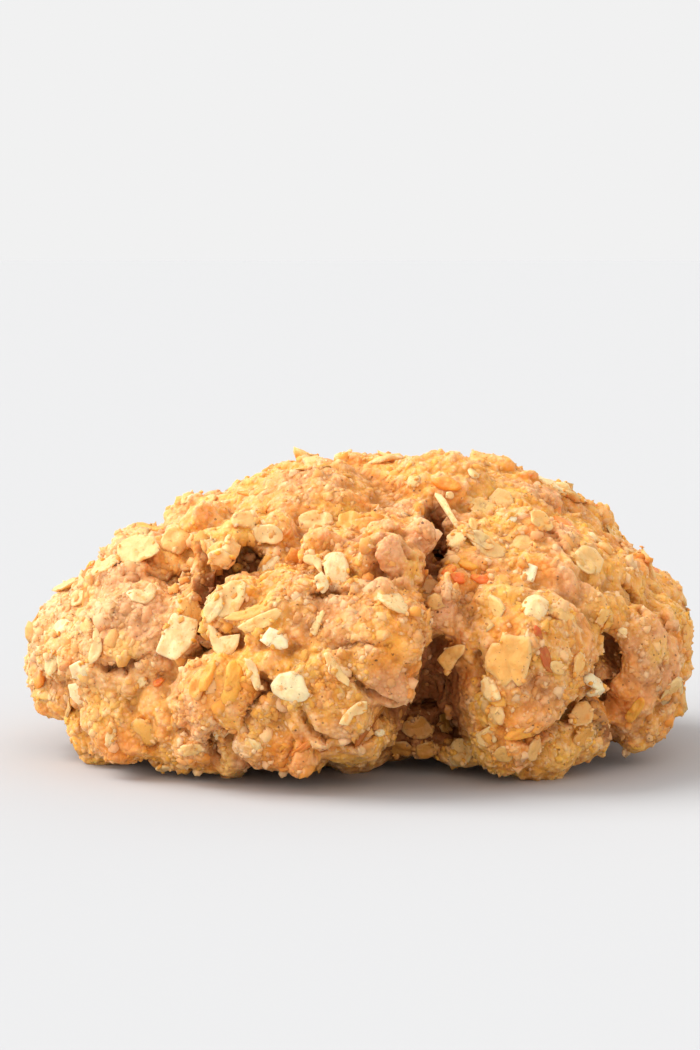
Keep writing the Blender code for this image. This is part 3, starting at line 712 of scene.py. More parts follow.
def mixed(cells, salt):
    """A number in 0..1 for each whole-number cell, the same each run."""
    n = cells[:, 0] * 73856093 ^ cells[:, 1] * 19349663 ^ cells[:, 2] * 83492791 ^ salt * 40503
    n = (n & 0xFFFFFFFF).astype(np.uint64)
    for _ in range(2):
        n = (n ^ (n >> np.uint64(16))) * np.uint64(0x45D9F3B) & np.uint64(0xFFFFFFFF)
    return (n ^ (n >> np.uint64(16))).astype(np.float64) / 4294967295.0


def noise(p, size, salt):
    """Smooth gradient noise of about -1..1, with blobs about size across: a random slope at each corner of a
    cell, times the way to it, mixed by the fifth-power ease."""
    q = p / size
    cell = np.floor(q).astype(np.int64)
    f = q - cell
    w = f**3 * (f * (f * 6 - 15) + 10)
    total = np.zeros(len(p))
    for corner in np.ndindex(2, 2, 2):
        slope = np.stack([mixed(cell + corner, salt + k) for k in (1, 2, 3)], 1) * 2 - 1
        share = np.prod(np.where(np.array(corner) == 1, w, 1 - w), axis=1)
        total += ((f - corner) * slope).sum(1) * share
    return total * 1.6


def cell_distance(p, size, salt):
    """Distance, in sizes, to the nearest of the points scattered one to a cell, from the 27 cells round."""
    q = p / size
    cell = np.floor(q).astype(np.int64)
    nearest = np.full(len(p), 9.0)
    for step in np.ndindex(3, 3, 3):
        near = cell + np.array(step) - 1
        seed = near + np.stack([mixed(near, salt + k) for k in (1, 2, 3)], 1)
        nearest = np.minimum(nearest, ((seed - q) ** 2).sum(1))
    return np.sqrt(nearest)


def warped(p, size, amount, salt):
    """Points moved by the amount times noise of their own along each axis."""
    return p + amount * np.stack([noise(p, size, salt + 10 * k) for k in (1, 2, 3)], 1)


def ball(p, middle, radius, stand):
    """Height over the mound of a ball whose top stands that far out over its middle."""
    away = ((p - middle) ** 2).sum(1)
    inside = away < radius**2
    return np.where(inside, stand - radius + np.sqrt(np.maximum(radius**2 - away, 0)), -100.0)


def blended_max(a, b, width):
    """The greater of two heights, raised by up to a quarter of the width where they are within it."""
    near = np.maximum(width - np.abs(a - b), 0) / width
    return np.maximum(a, b) + near * near * width / 4


def spread(count, seed):
    """Directions spread evenly over all sides by the golden angle, with a seeded jitter."""
    rng = np.random.default_rng(seed)
    rank = np.arange(count) + 0.5
    z = 1 - 2 * rank / count
    turn = rank * math.pi * (3 - math.sqrt(5))
    flat = np.sqrt(1 - z * z)
    d = np.stack([flat * np.cos(turn), flat * np.sin(turn), z], 1)
    return unit(d + rng.normal(0, 0.9 / math.sqrt(count), d.shape)), rng


def crack_cut(p, turning_points):
    """Depth of one crack at points p: steep walls round a line, with width and depth eased along it."""
    middles = [mound(towards(b, z))[0][0] for b, z, _, _ in turning_points]
    cut = np.zeros(len(p))
    for i in range(len(middles) - 1):
        start, end = middles[i], middles[i + 1]
        along = end - start
        t = np.clip((p - start) @ along / (along @ along), 0, 1)
        away = np.linalg.norm(p - start - t[:, None] * along, axis=1)
        width = turning_points[i][2] * (1 - t) + turning_points[i + 1][2] * t
        depth = turning_points[i][3] * (1 - t) + turning_points[i + 1][3] * t
        cut = np.maximum(cut, depth * np.exp(-((away / width) ** 2.6)))
    return cut


def core(d):
    """Points of the dough without its small lumps, where the unit directions d fall: the mound moved along
    its normals by the highest clod, swells and chunks, less the tuck at the foot and the cracks."""
    base, normals = mound(d)
    p = base
    for bend in CLOD_BENDS:
        p = warped(p, *bend)
    height = np.full(len(p), BARE_LEVEL)
    count, radii, stands, seed = BROAD_CLODS
    places, rng = spread(count, seed)
    for place in places:
        clod = ball(p, mound(place)[0][0], rng.uniform(*radii), rng.uniform(*stands))
        height = blended_max(height, clod, 0.5)
    for bearing, z, radius, stand in CLODS.values():
        clod = ball(p, mound(towards(bearing, z))[0][0], radius, stand)
        height = blended_max(height, clod, 0.4)
    height += sum(amount * noise(base, size, salt) for size, amount, salt in SWELLS)
    broken = warped(base, *CHUNK_BEND)
    chunks = (amount * (CHUNK_MIDDLE - cell_distance(broken, size, salt)) for size, amount, salt in CHUNKS)
    height += sum(chunks)
    height -= TUCK * np.clip(1 - base[:, 2] / TUCK_HEIGHT, 0, 1)
    for turning_points in CRACKS.values():
        height -= crack_cut(p, turning_points)
    return base + normals * height[:, None] + CENTRE_SHIFT


# ---------------------------------------------------------------- meshes


def cube_sphere(steps):
    """Unit directions on a grid over each side of a cube, spread by the tangent, with quads."""
    u = np.tan(np.linspace(-1, 1, steps + 1) * math.pi / 4)
    a, b = np.meshgrid(u, u, indexing="ij")
    rank = np.arange((steps + 1) ** 2).reshape(steps + 1, steps + 1)
    quads = np.stack([rank[:-1, :-1], rank[1:, :-1], rank[1:, 1:], rank[:-1, 1:]], -1).reshape(-1, 4)
    ways, faces = [], []
    for axis in range(3):
        for sign in (-1, 1):
            side = np.zeros((steps + 1, steps + 1, 3))
            side[..., axis] = sign
            side[..., (axis + 1) % 3] = a * sign
            side[..., (axis + 2) % 3] = b
            ways.append(side.reshape(-1, 3))
            faces.append(quads + len(faces) * len(ways[0]))
    return unit(np.concatenate(ways)), np.concatenate(faces)


def welded(points, faces, near=1e-4):
    """The same faces on points merged where they coincide."""
    _, first, index = np.unique(np.round(points / near), axis=0, return_index=True, return_inverse=True)
    return points[first], index.reshape(-1)[faces]


def mesh_of(name, points, faces):
    """A smooth mesh in metres from points in millimetres and faces of one number of sides."""
    mesh = bpy.data.meshes.new(name)
    sides = faces.shape[1]
    mesh.vertices.add(len(points))
    mesh.vertices.foreach_set("co", (points * MM).astype(np.float32).ravel())
    mesh.loops.add(faces.size)
    mesh.loops.foreach_set("vertex_index", faces.astype(np.int32).ravel())
    mesh.polygons.add(len(faces))
    mesh.polygons.foreach_set("loop_start", np.arange(0, faces.size, sides, dtype=np.int32))
    mesh.polygons.foreach_set("use_smooth", np.ones(len(faces), bool))
    mesh.update(calc_edges=True)
    return mesh


def placed(name, data):
    """A new object of this data, in the scene."""
    thing = bpy.data.objects.new(name, data)
    bpy.context.scene.collection.objects.link(thing)
    return thing


def piece(name, mesh, material):
    """One piece of the cookie, in its place of the frame."""
    thing = placed(name, mesh)
    mesh.materials.append(material)
    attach(thing, "root")
    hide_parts("cookie")
    return thing


def read(mesh, field):
    """The co or the normal of each vertex."""
    flat = np.empty(len(mesh.vertices) * 3)
    mesh.vertices.foreach_get(field, flat)
    return flat.reshape(-1, 3)


def attribute(mesh, name, values):
    """Writes one number for each vertex."""
    mesh.attributes.new(name, "FLOAT", "POINT").data.foreach_set("value", values.astype(np.float32))


def finished(thing):
    """Applies the modifiers of an object and returns the made mesh."""
    graph = bpy.context.evaluated_depsgraph_get()
    made = bpy.data.meshes.new_from_object(thing.evaluated_get(graph))
    thing.modifiers.clear()
    thing.data = made
    return made


def frames_on(normals, rng):
    """For each normal, a matrix whose columns are two directions along the surface and the normal."""
    side = unit(np.cross(normals, rng.normal(size=normals.shape)))
    return np.stack([side, np.cross(normals, side), normals], 2)


def core_normals(d, reach=0.012):
    """Normals of the core at directions d, from points a little to each side."""
    side = unit(np.cross(d, np.array([0.3, 0.2, 0.93])))
    rise = np.cross(side, d)
    east, west = core(unit(d + reach * side)), core(unit(d - reach * side))
    north, south = core(unit(d + reach * rise)), core(unit(d - reach * rise))
    n = unit(np.cross(east - west, north - south))
    return n * np.sign((n * d).sum(1, keepdims=True))


def lumps(count, radii, flatness, sunk, seed, template):
    """Uneven balls on the core: each point is middle + frame * (template * radii * (1 + noise))."""
    d, rng = spread(count, seed)
    d = d[d[:, 2] > -0.75]
    count = len(d)
    normals = core_normals(d)
    size = radii[0] + (radii[1] - radii[0]) * rng.random(count) ** 1.8
    stretch = rng.uniform(0.75, 1.25, (count, 3))
    stretch[:, 2] = flatness * rng.uniform(0.8, 1.2, count)
    lean = unit(normals + rng.normal(0, 0.22, normals.shape))
    axes = frames_on(lean, rng)
    shape = template[None] * (size[:, None] * stretch)[:, None, :]
    own = (template[None] * 1.7 + rng.uniform(0, 90, (count, 1, 3))).reshape(-1, 3)
    uneven = 1 + 0.26 * noise(own, 1.0, seed)
    shape = shape * uneven.reshape(count, -1, 1)
    middle = core(d) - normals * (size * stretch[:, 2] * sunk)[:, None]
    return middle[:, None] + np.einsum("nij,nkj->nki", axes, shape)


def seen_lumps(points, quads, template):
    """The named lumps as uneven balls on the core, at the places where they show in the view: a ball's axes
    are its length and height across the line of sight and its depth along it, times 1 + noise."""
    bare = placed("core", mesh_of("core", points, quads))
    bpy.context.view_layer.update()
    right, up, forward = view_axes()
    made = []
    for rank, (x, y, long, high, turn, stand) in enumerate(SEEN_LUMPS.values()):
        place = met(bare, *sight(x, y))
        if place is None:
            continue
        along = math.cos(math.radians(turn)) * right + math.sin(math.radians(turn)) * up
        deep = 0.8 * min(long, high) + 0.6
        shape = template * (1 + 0.16 * noise(template * 1.4 + 9 * rank, 1.0, 351))[:, None]
        axes = np.stack([along * long, np.cross(-forward, along) * high, -forward * deep])
        made.append(place - unit(CENTRE - place) * (stand - deep) + shape @ axes)
    bpy.data.objects.remove(bare)
    return np.array(made)


def icosahedron():
    """Twelve unit points and twenty triangles."""
    made = bmesh.new()
    bmesh.ops.create_icosphere(made, subdivisions=1, radius=1.0)
    points = np.array([v.co[:] for v in made.verts])
    faces = np.array([[v.index for v in f.verts] for f in made.faces])
    made.free()
    return points, faces


def copies(points, faces):
    """Faces repeated for each copy in points, an array of copies x points x 3."""
    steps = np.arange(len(points))[:, None, None] * points.shape[1]
    return points.reshape(-1, 3), (faces[None] + steps).reshape(-1, faces.shape[1])


def neighbour_mean(values, edges, count):
    """Mean of the values over each vertex's neighbours, column by column."""
    if values.ndim > 1:
        return np.stack([neighbour_mean(column, edges, count) for column in values.T], 1)
    ends = np.concatenate([edges[:, 0], edges[:, 1]])
    others = np.concatenate([edges[:, 1], edges[:, 0]])
    total = np.bincount(ends, weights=values[others], minlength=count)
    return total / np.maximum(np.bincount(ends, minlength=count), 1)


def dough_shells():
    """Points and quads of the core and of the lumps on it: closed shells that cross each other."""
    directions, quads = cube_sphere(CORE_STEPS)
    points, quads = welded(core(directions), quads)
    shells, sides = [points], [quads]
    smooth, smooth_quads = welded(*cube_sphere(9))
    p, f = copies(seen_lumps(points, quads, smooth), smooth_quads)
    sides.append(f + len(points))
    shells.append(p)
    fine, fine_quads = welded(*cube_sphere(4))
    coarse, coarse_quads = welded(*cube_sphere(2))
    for name, (count, radii, flatness, sunk, seed) in LUMPS.items():
        template, faces = (coarse, coarse_quads) if name == "grit" else (fine, fine_quads)
        p, f = copies(lumps(count, radii, flatness, sunk, seed, template), faces)
        sides.append(f + sum(len(shell) for shell in shells))
        shells.append(p)
    return np.concatenate(shells), np.concatenate(sides)


def grit_height(p):
    """Height of the fine grit at points p: round cells, stronger in patches, and a little noise."""
    patches = np.clip(0.6 + 0.9 * noise(p, GRIT_PATCH, 404), 0.2, 1)
    cells = 0.45 - cell_distance(warped(p, GRIT_CELL, 0.25, 405), GRIT_CELL, 401)
    return patches * GRIT_HEIGHT * cells + 0.05 * noise(p, 0.8, 403)


def make_dough():
    """The core and its lumps united by a voxel remesh, a little smoothed, raised by the grit and cut by the
    fine cracks along the normals, and thinned to its number of triangles."""
    dough = placed("dough", mesh_of("dough", *dough_shells()))
    remesh = dough.modifiers.new("unite", "REMESH")
    remesh.mode = "VOXEL"
    remesh.voxel_size = DOUGH_CELL * MM
    remesh.use_smooth_shade = True
    mesh = finished(dough)
    p = read(mesh, "co") / MM
    p += DOUGH_SMOOTHING * (neighbour_mean(p, edges_of(mesh), len(p)) - p)
    normals = read(mesh, "normal")
    p += normals * grit_height(p)[:, None]
    move(mesh, p)
    bpy.context.view_layer.update()
    for turning_points in FINE_CRACKS.values():
        p -= normals * line_cut(dough, p, turning_points)[:, None]
    p[:, 2] = np.maximum(p[:, 2], 0)
    move(mesh, p)
    mesh.calc_loop_triangles()
    thin = dough.modifiers.new("thin_out", "DECIMATE")
    thin.ratio = min(1.0, DOUGH_TRIANGLES / len(mesh.loop_triangles))
    mesh = finished(dough)
    mesh.shade_smooth()
    bpy.context.view_layer.update()
    colour_dough(dough)
    bpy.data.objects.remove(dough)
    return mesh


def move(mesh, points):
    """Puts the vertices at points in millimetres."""
    mesh.vertices.foreach_set("co", (points * MM).ravel())
    mesh.update()


def line_cut(dough, p, turning_points):
    """Depth of a fine crack at points p, whose line is drawn in the view and laid on the dough."""
    cut = np.zeros(len(p))
    for start, end in zip(turning_points, turning_points[1:]):
        start, end = np.array(start), np.array(end)
        steps = max(1, round(np.linalg.norm((end - start)[:2]) / CRACK_STEP))
        for t in np.arange(steps + 1) / steps:
            x, y, width, depth = start + t * (end - start)
            place = met(dough, *sight(x, y))
            if place is None:
                continue
            near = np.nonzero(np.abs(p - place).max(1) < 4 * width)[0]
            away = np.linalg.norm(p[near] - place, axis=1)
            cut[near] = np.maximum(cut[near], depth * np.exp(-((away / width) ** 2.2)))
    return cut


def met(dough, start, way):
    """The point in millimetres where a line first meets the dough, or None."""
    hit, place, _, _ = dough.ray_cast(Vector(start * MM), Vector(way))
    return np.array(place) / MM if hit else None


def edges_of(mesh):
    """The two vertices of each edge."""
    edges = np.empty(len(mesh.edges) * 2, np.int32)
    mesh.edges.foreach_get("vertices", edges)
    return edges.reshape(-1, 2)


def zone(dough, p, zones, salt):
    """Strength of the strongest zone at each point: a bell round its middle, or a patch of noise anywhere."""
    strength = 0.8 * np.clip(noise(p, 3.6, salt) * 2.4 - 0.75, 0, 1)
    patchy = 1.0 + 0.7 * noise(p, 1.6, salt + 50)
    for x, y, reach, much in zones.values():
        place = met(dough, *sight(x, y))
        if place is not None:
            away = np.linalg.norm(p - place, axis=1)
            strength = np.maximum(strength, 1.15 * much * np.exp(-((away / reach) ** 2.5)) * patchy)
    return np.clip(strength, 0, 1)


def hollows_and_peaks(dough, p):
    """How much painted shade and painted highlight points get, 0 to 1. Painted shade lies in the hollows:
    pits below the dough close by, dips of it below the dough round it, what is deep under the mound, and
    fine cracks; each adds painted shade to what the others leave. Painted highlight lies on the peaks,
    which stand over the dough close by."""
    edges = edges_of(dough.data)
    height = over_mound(p)
    near = height.copy()
    for _ in range(NEAR_STEPS):
        near = neighbour_mean(near, edges, len(p))
    far = near.copy()
    for _ in range(FAR_STEPS):
        far = neighbour_mean(far, edges, len(p))
    pits = np.clip((near - height) / PIT_DEPTH, 0, 1)
    dips = np.clip((far - near - DIP_FROM) / DIP_DEPTH, 0, 1)
    deep = np.clip((-DEEP_FROM - height) / DEEP_DEPTH, 0, 1)
    hollow = 1 - (1 - np.clip(pits + 0.95 * dips, 0, 1) * 0.55) * (1 - 0.97 * deep)
    for turning_points in FINE_CRACKS.values():
        # Painted shade in each fine crack, by its depth.
        dark = 0.92 * np.clip(line_cut(dough, p, turning_points) / CRACK_DARK, 0, 1)
        hollow = 1 - (1 - hollow) * (1 - dark)
    # Painted highlight on the peaks.
    return hollow, np.clip((height - near) / PEAK_HEIGHT, 0, 1)


def left_painted_light(p):
    """Painted light that makes the left paler: grows to the left from LEFT_START over LEFT_REACH, and up
    from the foot.
    """
    side = np.clip((-p[:, 0] - LEFT_START) / LEFT_REACH, 0, 1)
    return LEFT_PAINTED_LIGHT * side * np.clip((p[:, 2] - 4) / 12, 0, 1)


def colour_dough(dough):
    """Vertex values: painted shade of the hollows, painted highlight on the peaks (how far a vertex stands
    out of the dough close by), painted light on the left, and the strength of the zones of warmth, gold
    and pinkness."""
    mesh = dough.data
    p = read(mesh, "co") / MM
    hollow, peak_highlight = hollows_and_peaks(dough, p)
    attribute(mesh, "hollow", hollow)
    attribute(mesh, "peak_highlight", peak_highlight)
    attribute(mesh, "warmth", zone(dough, p, WARM_ZONES, 702))
    attribute(mesh, "gold", zone(dough, p, GOLD_ZONES, 712))
    attribute(mesh, "pinkness", zone(dough, p, PINK_ZONES, 722))
    attribute(mesh, "painted_left_light", left_painted_light(p))


# ---------------------------------------------------------------- things on the dough


class Ground:
    """The dough as what other things sit on: its points, smooth normals, and where a line meets it."""

    def __init__(self, dough):
        self.dough = dough
        mesh = dough.data
        self.points = read(mesh, "co") / MM
        self.normals = read(mesh, "normal")
        mesh.calc_loop_triangles()
        flat = np.empty(len(mesh.loop_triangles) * 3, np.int32)
        mesh.loop_triangles.foreach_get("vertices", flat)
        self.triangles = flat.reshape(-1, 3)
        self.values = {}
        for name in VALUES:
            self.values[name] = read_values(mesh, name)
        bpy.context.view_layer.update()

    def hit(self, start, way):
        """The point in millimetres where a line first meets the dough, or None."""
        return met(self.dough, start, way)

    def normal(self, place, reach=1.6):
        """The mean normal of the dough within reach of a place."""
        near = ((self.points - place) ** 2).sum(1) < reach**2
        return unit(self.normals[near].sum(0)) if near.any() else np.array([0.0, 0.0, 1.0])

    def hollow(self, places, reach=1.5):
        """The mean painted shade of the dough's hollows within reach of each place."""
        found = []
        for place in places:
            near = ((self.points - place) ** 2).sum(1) < reach**2
            found.append(self.values["hollow"][near].mean() if near.any() else 0.0)
        return np.array(found)

    def seen(self, x, y):
        """Where the line of sight through x, y of the view meets the dough."""
        return self.hit(*sight(x, y))

    def scattered(self, count, rng, density):
        """Random places by area times density, fewer in the hollows, with their normals and the values of
        the dough. A place is a mean of a triangle's corners, with the gaps of two sorted draws as shares."""
        corners = self.points[self.triangles]
        cross = np.cross(corners[:, 1] - corners[:, 0], corners[:, 2] - corners[:, 0])
        weight = np.linalg.norm(cross, axis=1) * density(corners.mean(1))
        weight = weight * (1 - HOLLOW_SPARED * self.values["hollow"][self.triangles[:, 0]])
        total = np.cumsum(weight)
        pick = np.searchsorted(total, rng.random(count) * total[-1])
        a, b = np.sort(rng.random((count, 2)), axis=1).T
        shares = np.stack([a, b - a, 1 - b], 1)
        corner = self.triangles[pick]
        places = (self.points[corner] * shares[..., None]).sum(1)
        normals = unit((self.normals[corner] * shares[..., None]).sum(1))
        return places, normals, {name: v[corner[:, 0]] for name, v in self.values.items()}


def read_values(mesh, name):
    """The number that each vertex has by this name."""
    values = np.empty(len(mesh.vertices), np.float32)
    mesh.attributes[name].data.foreach_get("value", values)
    return values.astype(np.float64)


def sight(x, y):
    """The eye and the direction of the line of sight through x, y of the view."""
    reach = PIXELS_PER_MM * VIEW_DISTANCE
    right, up, forward = view_axes()
    way = unit(forward + right * (x - VIEW_SIZE[0] / 2) / reach + up * (VIEW_SIZE[1] / 2 - y) / reach)
    return VIEW_AIM - forward * VIEW_DISTANCE, way


def view_axes():
    """The directions to the right, up and forward of the view."""
    right = np.array([1.0, 0.0, 0.0])
    forward = np.array([0.0, math.cos(VIEW_RISE), -math.sin(VIEW_RISE)])
    return right, np.cross(right, forward), forward


def disc(steps, rings):
    """A disc of two faces that share their rim: the angle, radius and side (1 top, -1 bottom) of each point,
    and its triangles. Each face is a fan round its middle and a band from each ring to the next."""
    angle, radius, side, faces = [], [], [], []
    turn = np.arange(steps) * 2 * math.pi / steps
    rim = None
    for way in (1, -1):
        middle = len(angle)
        angle.append(0.0)
        radius.append(0.0)
        side.append(way)
        loops = []
        for ring in rings:
            if ring == 1.0 and way == -1:
                loops.append(rim)
                continue
            loops.append(np.arange(steps) + len(angle))
            angle.extend(turn)
            radius.extend([ring] * steps)
            side.extend([way] * steps)
        rim = loops[-1]
        after = [np.roll(loop, -1) for loop in loops]
        fan = np.stack([np.full(steps, middle), loops[0], after[0]], 1)
        bands = []
        for i in range(len(loops) - 1):
            bands.append(np.stack([loops[i], loops[i + 1], after[i + 1]], 1))
            bands.append(np.stack([loops[i], after[i + 1], after[i]], 1))
        made = np.concatenate([fan, *bands])
        faces.append(made if way == 1 else made[:, ::-1])
    return np.array(angle), np.array(radius), np.array(side), np.concatenate(faces)


def ragged_edges(angle, corners, rng, ragged):
    """Superellipses times 1 + waves of 2 to 7 to the turn, with straight broken sides and a notch."""
    count = len(corners)
    power = corners[:, None]
    edge = (np.abs(np.cos(angle)) ** power + np.abs(np.sin(angle)) ** power) ** (-1 / power)
    for wave in range(2, 8):
        amount = ragged * rng.uniform(0.0, 0.30 / wave, (count, 1))
        edge = edge * (1 + amount * np.cos(wave * angle + rng.uniform(0, 6.28, (count, 1))))
    for _ in range(3):
        broken = rng.uniform(0, 6.28, (count, 1))
        reach = rng.uniform(0.90 - 0.3 * ragged, 1.15, (count, 1))
        edge = np.minimum(edge, reach / np.maximum(np.cos(angle - broken), 0.05))
    notch = rng.uniform(0, 6.28, (count, 1))
    off = np.abs((angle - notch + math.pi) % (2 * math.pi) - math.pi)
    return edge * (1 - ragged * rng.uniform(0, 0.26, (count, 1)) * np.exp(-((off / 0.28) ** 2)))


def drawn_edge(angle, outline):
    """How far an outline lies from its middle in each direction, where one of its sides crosses it."""
    ways = np.stack([np.cos(angle), np.sin(angle)], 1)[:, None]
    sides = np.roll(outline, -1, 0) - outline
    share = (outline[:, 0] * ways[..., 1] - outline[:, 1] * ways[..., 0])
    share = share / (ways[..., 0] * sides[:, 1] - ways[..., 1] * sides[:, 0] + 1e-9)
    reach = ((outline + share[..., None] * sides) * ways).sum(2)
    return np.where((share >= 0) & (share <= 1) & (reach > 0), reach, 0).max(1)


def flat_bits(shape, edges, sizes, cups, bends, axes, middles, rng, crease=0.07):
    """Points of uneven flat bits with these edges. The face stands half the thickness times the fourth-power
    dome over a plane that cups by the square of the place along each side, and ripples by noise, with a
    crease along it; the long side bends by the square too."""
    angle, radius, side, _ = shape
    count = len(sizes)
    u, v = radius * edges * np.cos(angle), radius * edges * np.sin(angle)
    x = u * sizes[:, :1] / 2
    y = v * sizes[:, 1:2] / 2 + bends[:, None] * u * u * sizes[:, :1]
    plane = cups[:, None] * (0.7 * v * v * sizes[:, 1:2] / 2 + 0.3 * u * u * sizes[:, :1] / 2)
    place = np.stack([x, y, np.broadcast_to(rng.uniform(0, 500, (count, 1)), x.shape)], 2)
    line = -crease * np.exp(-((v / 0.13) ** 2)) * np.clip(1.6 - 2 * np.abs(u), 0, 1)
    ripple = line + 0.34 * noise(place.reshape(-1, 3), 1.4, 811).reshape(count, -1)
    dome = np.sqrt(np.maximum(1 - radius**4, 0)) * side
    thick = sizes[:, 2:] / 2 * (0.85 + 0.5 * noise(place.reshape(-1, 3), 0.9, 812).reshape(count, -1))
    local = np.stack([x, y, plane + ripple + dome * thick], 2)
    return middles[:, None] + np.einsum("nij,nkj->nki", axes, local)


def seen_bits(bits, ground, shape, rng):
    """Points, tints, painted shades and middles of the named bits, each turned as it shows in the view."""
    right, up, forward = view_axes()
    sizes, cups, bends, corners, axes, middles, tints, shades = [], [], [], [], [], [], [], []
    for b in bits.values():
        place = ground.seen(b["x"], b["y"])
        if place is None:
            continue
        face = faced(ground, place, b["lean"])
        turn = math.radians(b["turn"])
        along = math.cos(turn) * right + math.sin(turn) * up
        away = -(along @ face) / min(forward @ face, -0.05)
        along = unit(along + away * forward if abs(away) < 1.5 else along - (along @ face) * face)
        face = unit(face - (face @ along) * along)
        sizes.append((b["length"], b["width"], b["thick"]))
        cups.append(b["cup"])
        bends.append(b["bend"])
        corners.append(b["corners"])
        axes.append(np.stack([along, np.cross(face, along), face], 1))
        middles.append(place + b["stand"] * face)
        tints.append(b["tint"])
        shades.append(b["shade"])
    edges = ragged_edges(shape[0], np.array(corners, float), rng, 0.6)
    arrays = [np.array(v, float) for v in (sizes, cups, bends, axes, middles)]
    return flat_bits(shape, edges, *arrays, rng), np.array(tints), np.array(shades), arrays[-1]


def seen_slabs(slabs, ground, shape, rng):
    """Points, tints, painted shades and middles of the bits drawn in the view. Each lies in a plane through
    the place where its middle shows, and its outline is where the lines of sight meet that plane."""
    edges, sizes, cups, axes, middles, tints, shades = [], [], [], [], [], [], []
    for s in slabs.values():
        place = ground.seen(*np.mean(s["outline"], axis=0))
        if place is None:
            continue
        face = faced(ground, place, s["lean"])
        place = place + s["stand"] * face
        along = unit(view_axes()[0] - (view_axes()[0] @ face) * face)
        across = np.cross(face, along)
        outline = []
        for point in s["outline"]:
            eye, way = sight(*point)
            spot = eye + ((place - eye) @ face) / (way @ face) * way - place
            outline.append((spot @ along, spot @ across))
        edge = drawn_edge(shape[0], np.array(outline))
        edges.append(edge / edge.mean())
        sizes.append((2 * edge.mean(), 2 * edge.mean(), s["thick"]))
        cups.append(s["cup"])
        axes.append(np.stack([along, across, face], 1))
        middles.append(place)
        tints.append(s["tint"])
        shades.append(s["shade"])
    arrays = [np.array(v, float) for v in (edges, sizes, cups, np.zeros(len(cups)), axes, middles)]
    return flat_bits(shape, *arrays, rng, crease=0.0), np.array(tints), np.array(shades), arrays[-1]


def faced(ground, place, lean):
    """The way a bit faces: off the dough, turned by its lean and a little to the viewer."""
    right, up, forward = view_axes()
    return unit(ground.normal(place) + lean[0] * right + lean[1] * up - 0.25 * forward)


def more_bits(plan, ground, shape, taken):
    """Points and tints of seeded flakes round the rest of the cookie. None lies at the foot, under an
    overhang or close to a named one, and fewer lie on the front."""
    count, lengths, shares, seed = plan
    directions, rng = spread(count, seed)
    sizes, cups, axes, middles, tints = [], [], [], [], []
    for d in directions:
        base, normal = (v[0] for v in mound(d))
        chance, length, share, thick, cup, sunk, tint = rng.random(7)
        tilt = rng.normal(0, 0.22, 3)
        way = rng.normal(size=3)
        place = ground.hit(base + CENTRE_SHIFT + ABOVE * normal, -normal)
        if place is None or place[2] < FLAKES_FROM:
            continue
        if place[1] < FRONT_Y and chance < FRONT_SPARED:
            continue
        if np.linalg.norm(taken - place, axis=1).min() < FLAKE_GAP:
            continue
        off = ground.normal(place)
        if off[2] < OVERHANG:
            continue
        face = unit(off + tilt)
        along = unit(way - (way @ face) * face)
        long = lengths[0] + (lengths[1] - lengths[0]) * length**1.4
        sizes.append((long, long * (shares[0] + (shares[1] - shares[0]) * share), 0.45 + 0.6 * thick**2))
        cups.append(-0.3 + 0.8 * cup)
        axes.append(np.stack([along, np.cross(face, along), face], 1))
        middles.append(place + (-0.3 + 0.4 * sunk) * face)
        tints.append(0.28 + 0.55 * tint)
    zero = np.zeros(len(sizes))
    edges = ragged_edges(shape[0], zero + 2.4, rng, 1.0)
    arrays = [np.array(v, float) for v in (edges, sizes, cups, zero, axes, middles)]
    return flat_bits(shape, *arrays, rng), np.array(tints)


def rounded_square(turn, power):
    """Across and up at these turns round a square with round corners: a power of the cosine and the sine."""
    across, up = np.cos(turn), np.sin(turn)
    return np.sign(across) * np.abs(across) ** power, np.sign(up) * np.abs(up) ** power


def shred_path(ground, base, normal, way, length, bow):
    """Points on the dough along a bowed line over a place, each the mean of itself twice and its neighbours
    once, two times over. None where the line leaves the dough or nears the floor."""
    along = unit(way - (way @ normal) * normal)
    side = np.cross(normal, along)
    path = []
    for t in np.linspace(-0.5, 0.5, SHRED_STEPS):
        start = base + CENTRE_SHIFT + length * (t * along + bow * (1 - 4 * t * t) * side)
        path.append(ground.hit(start + ABOVE * normal, -normal))
    if any(p is None or p[2] < SHREDS_FROM for p in path):
        return None
    path = np.array(path)
    for _ in range(2):
        path[1:-1] = (path[:-2] + 2 * path[1:-1] + path[2:]) / 4
    return path


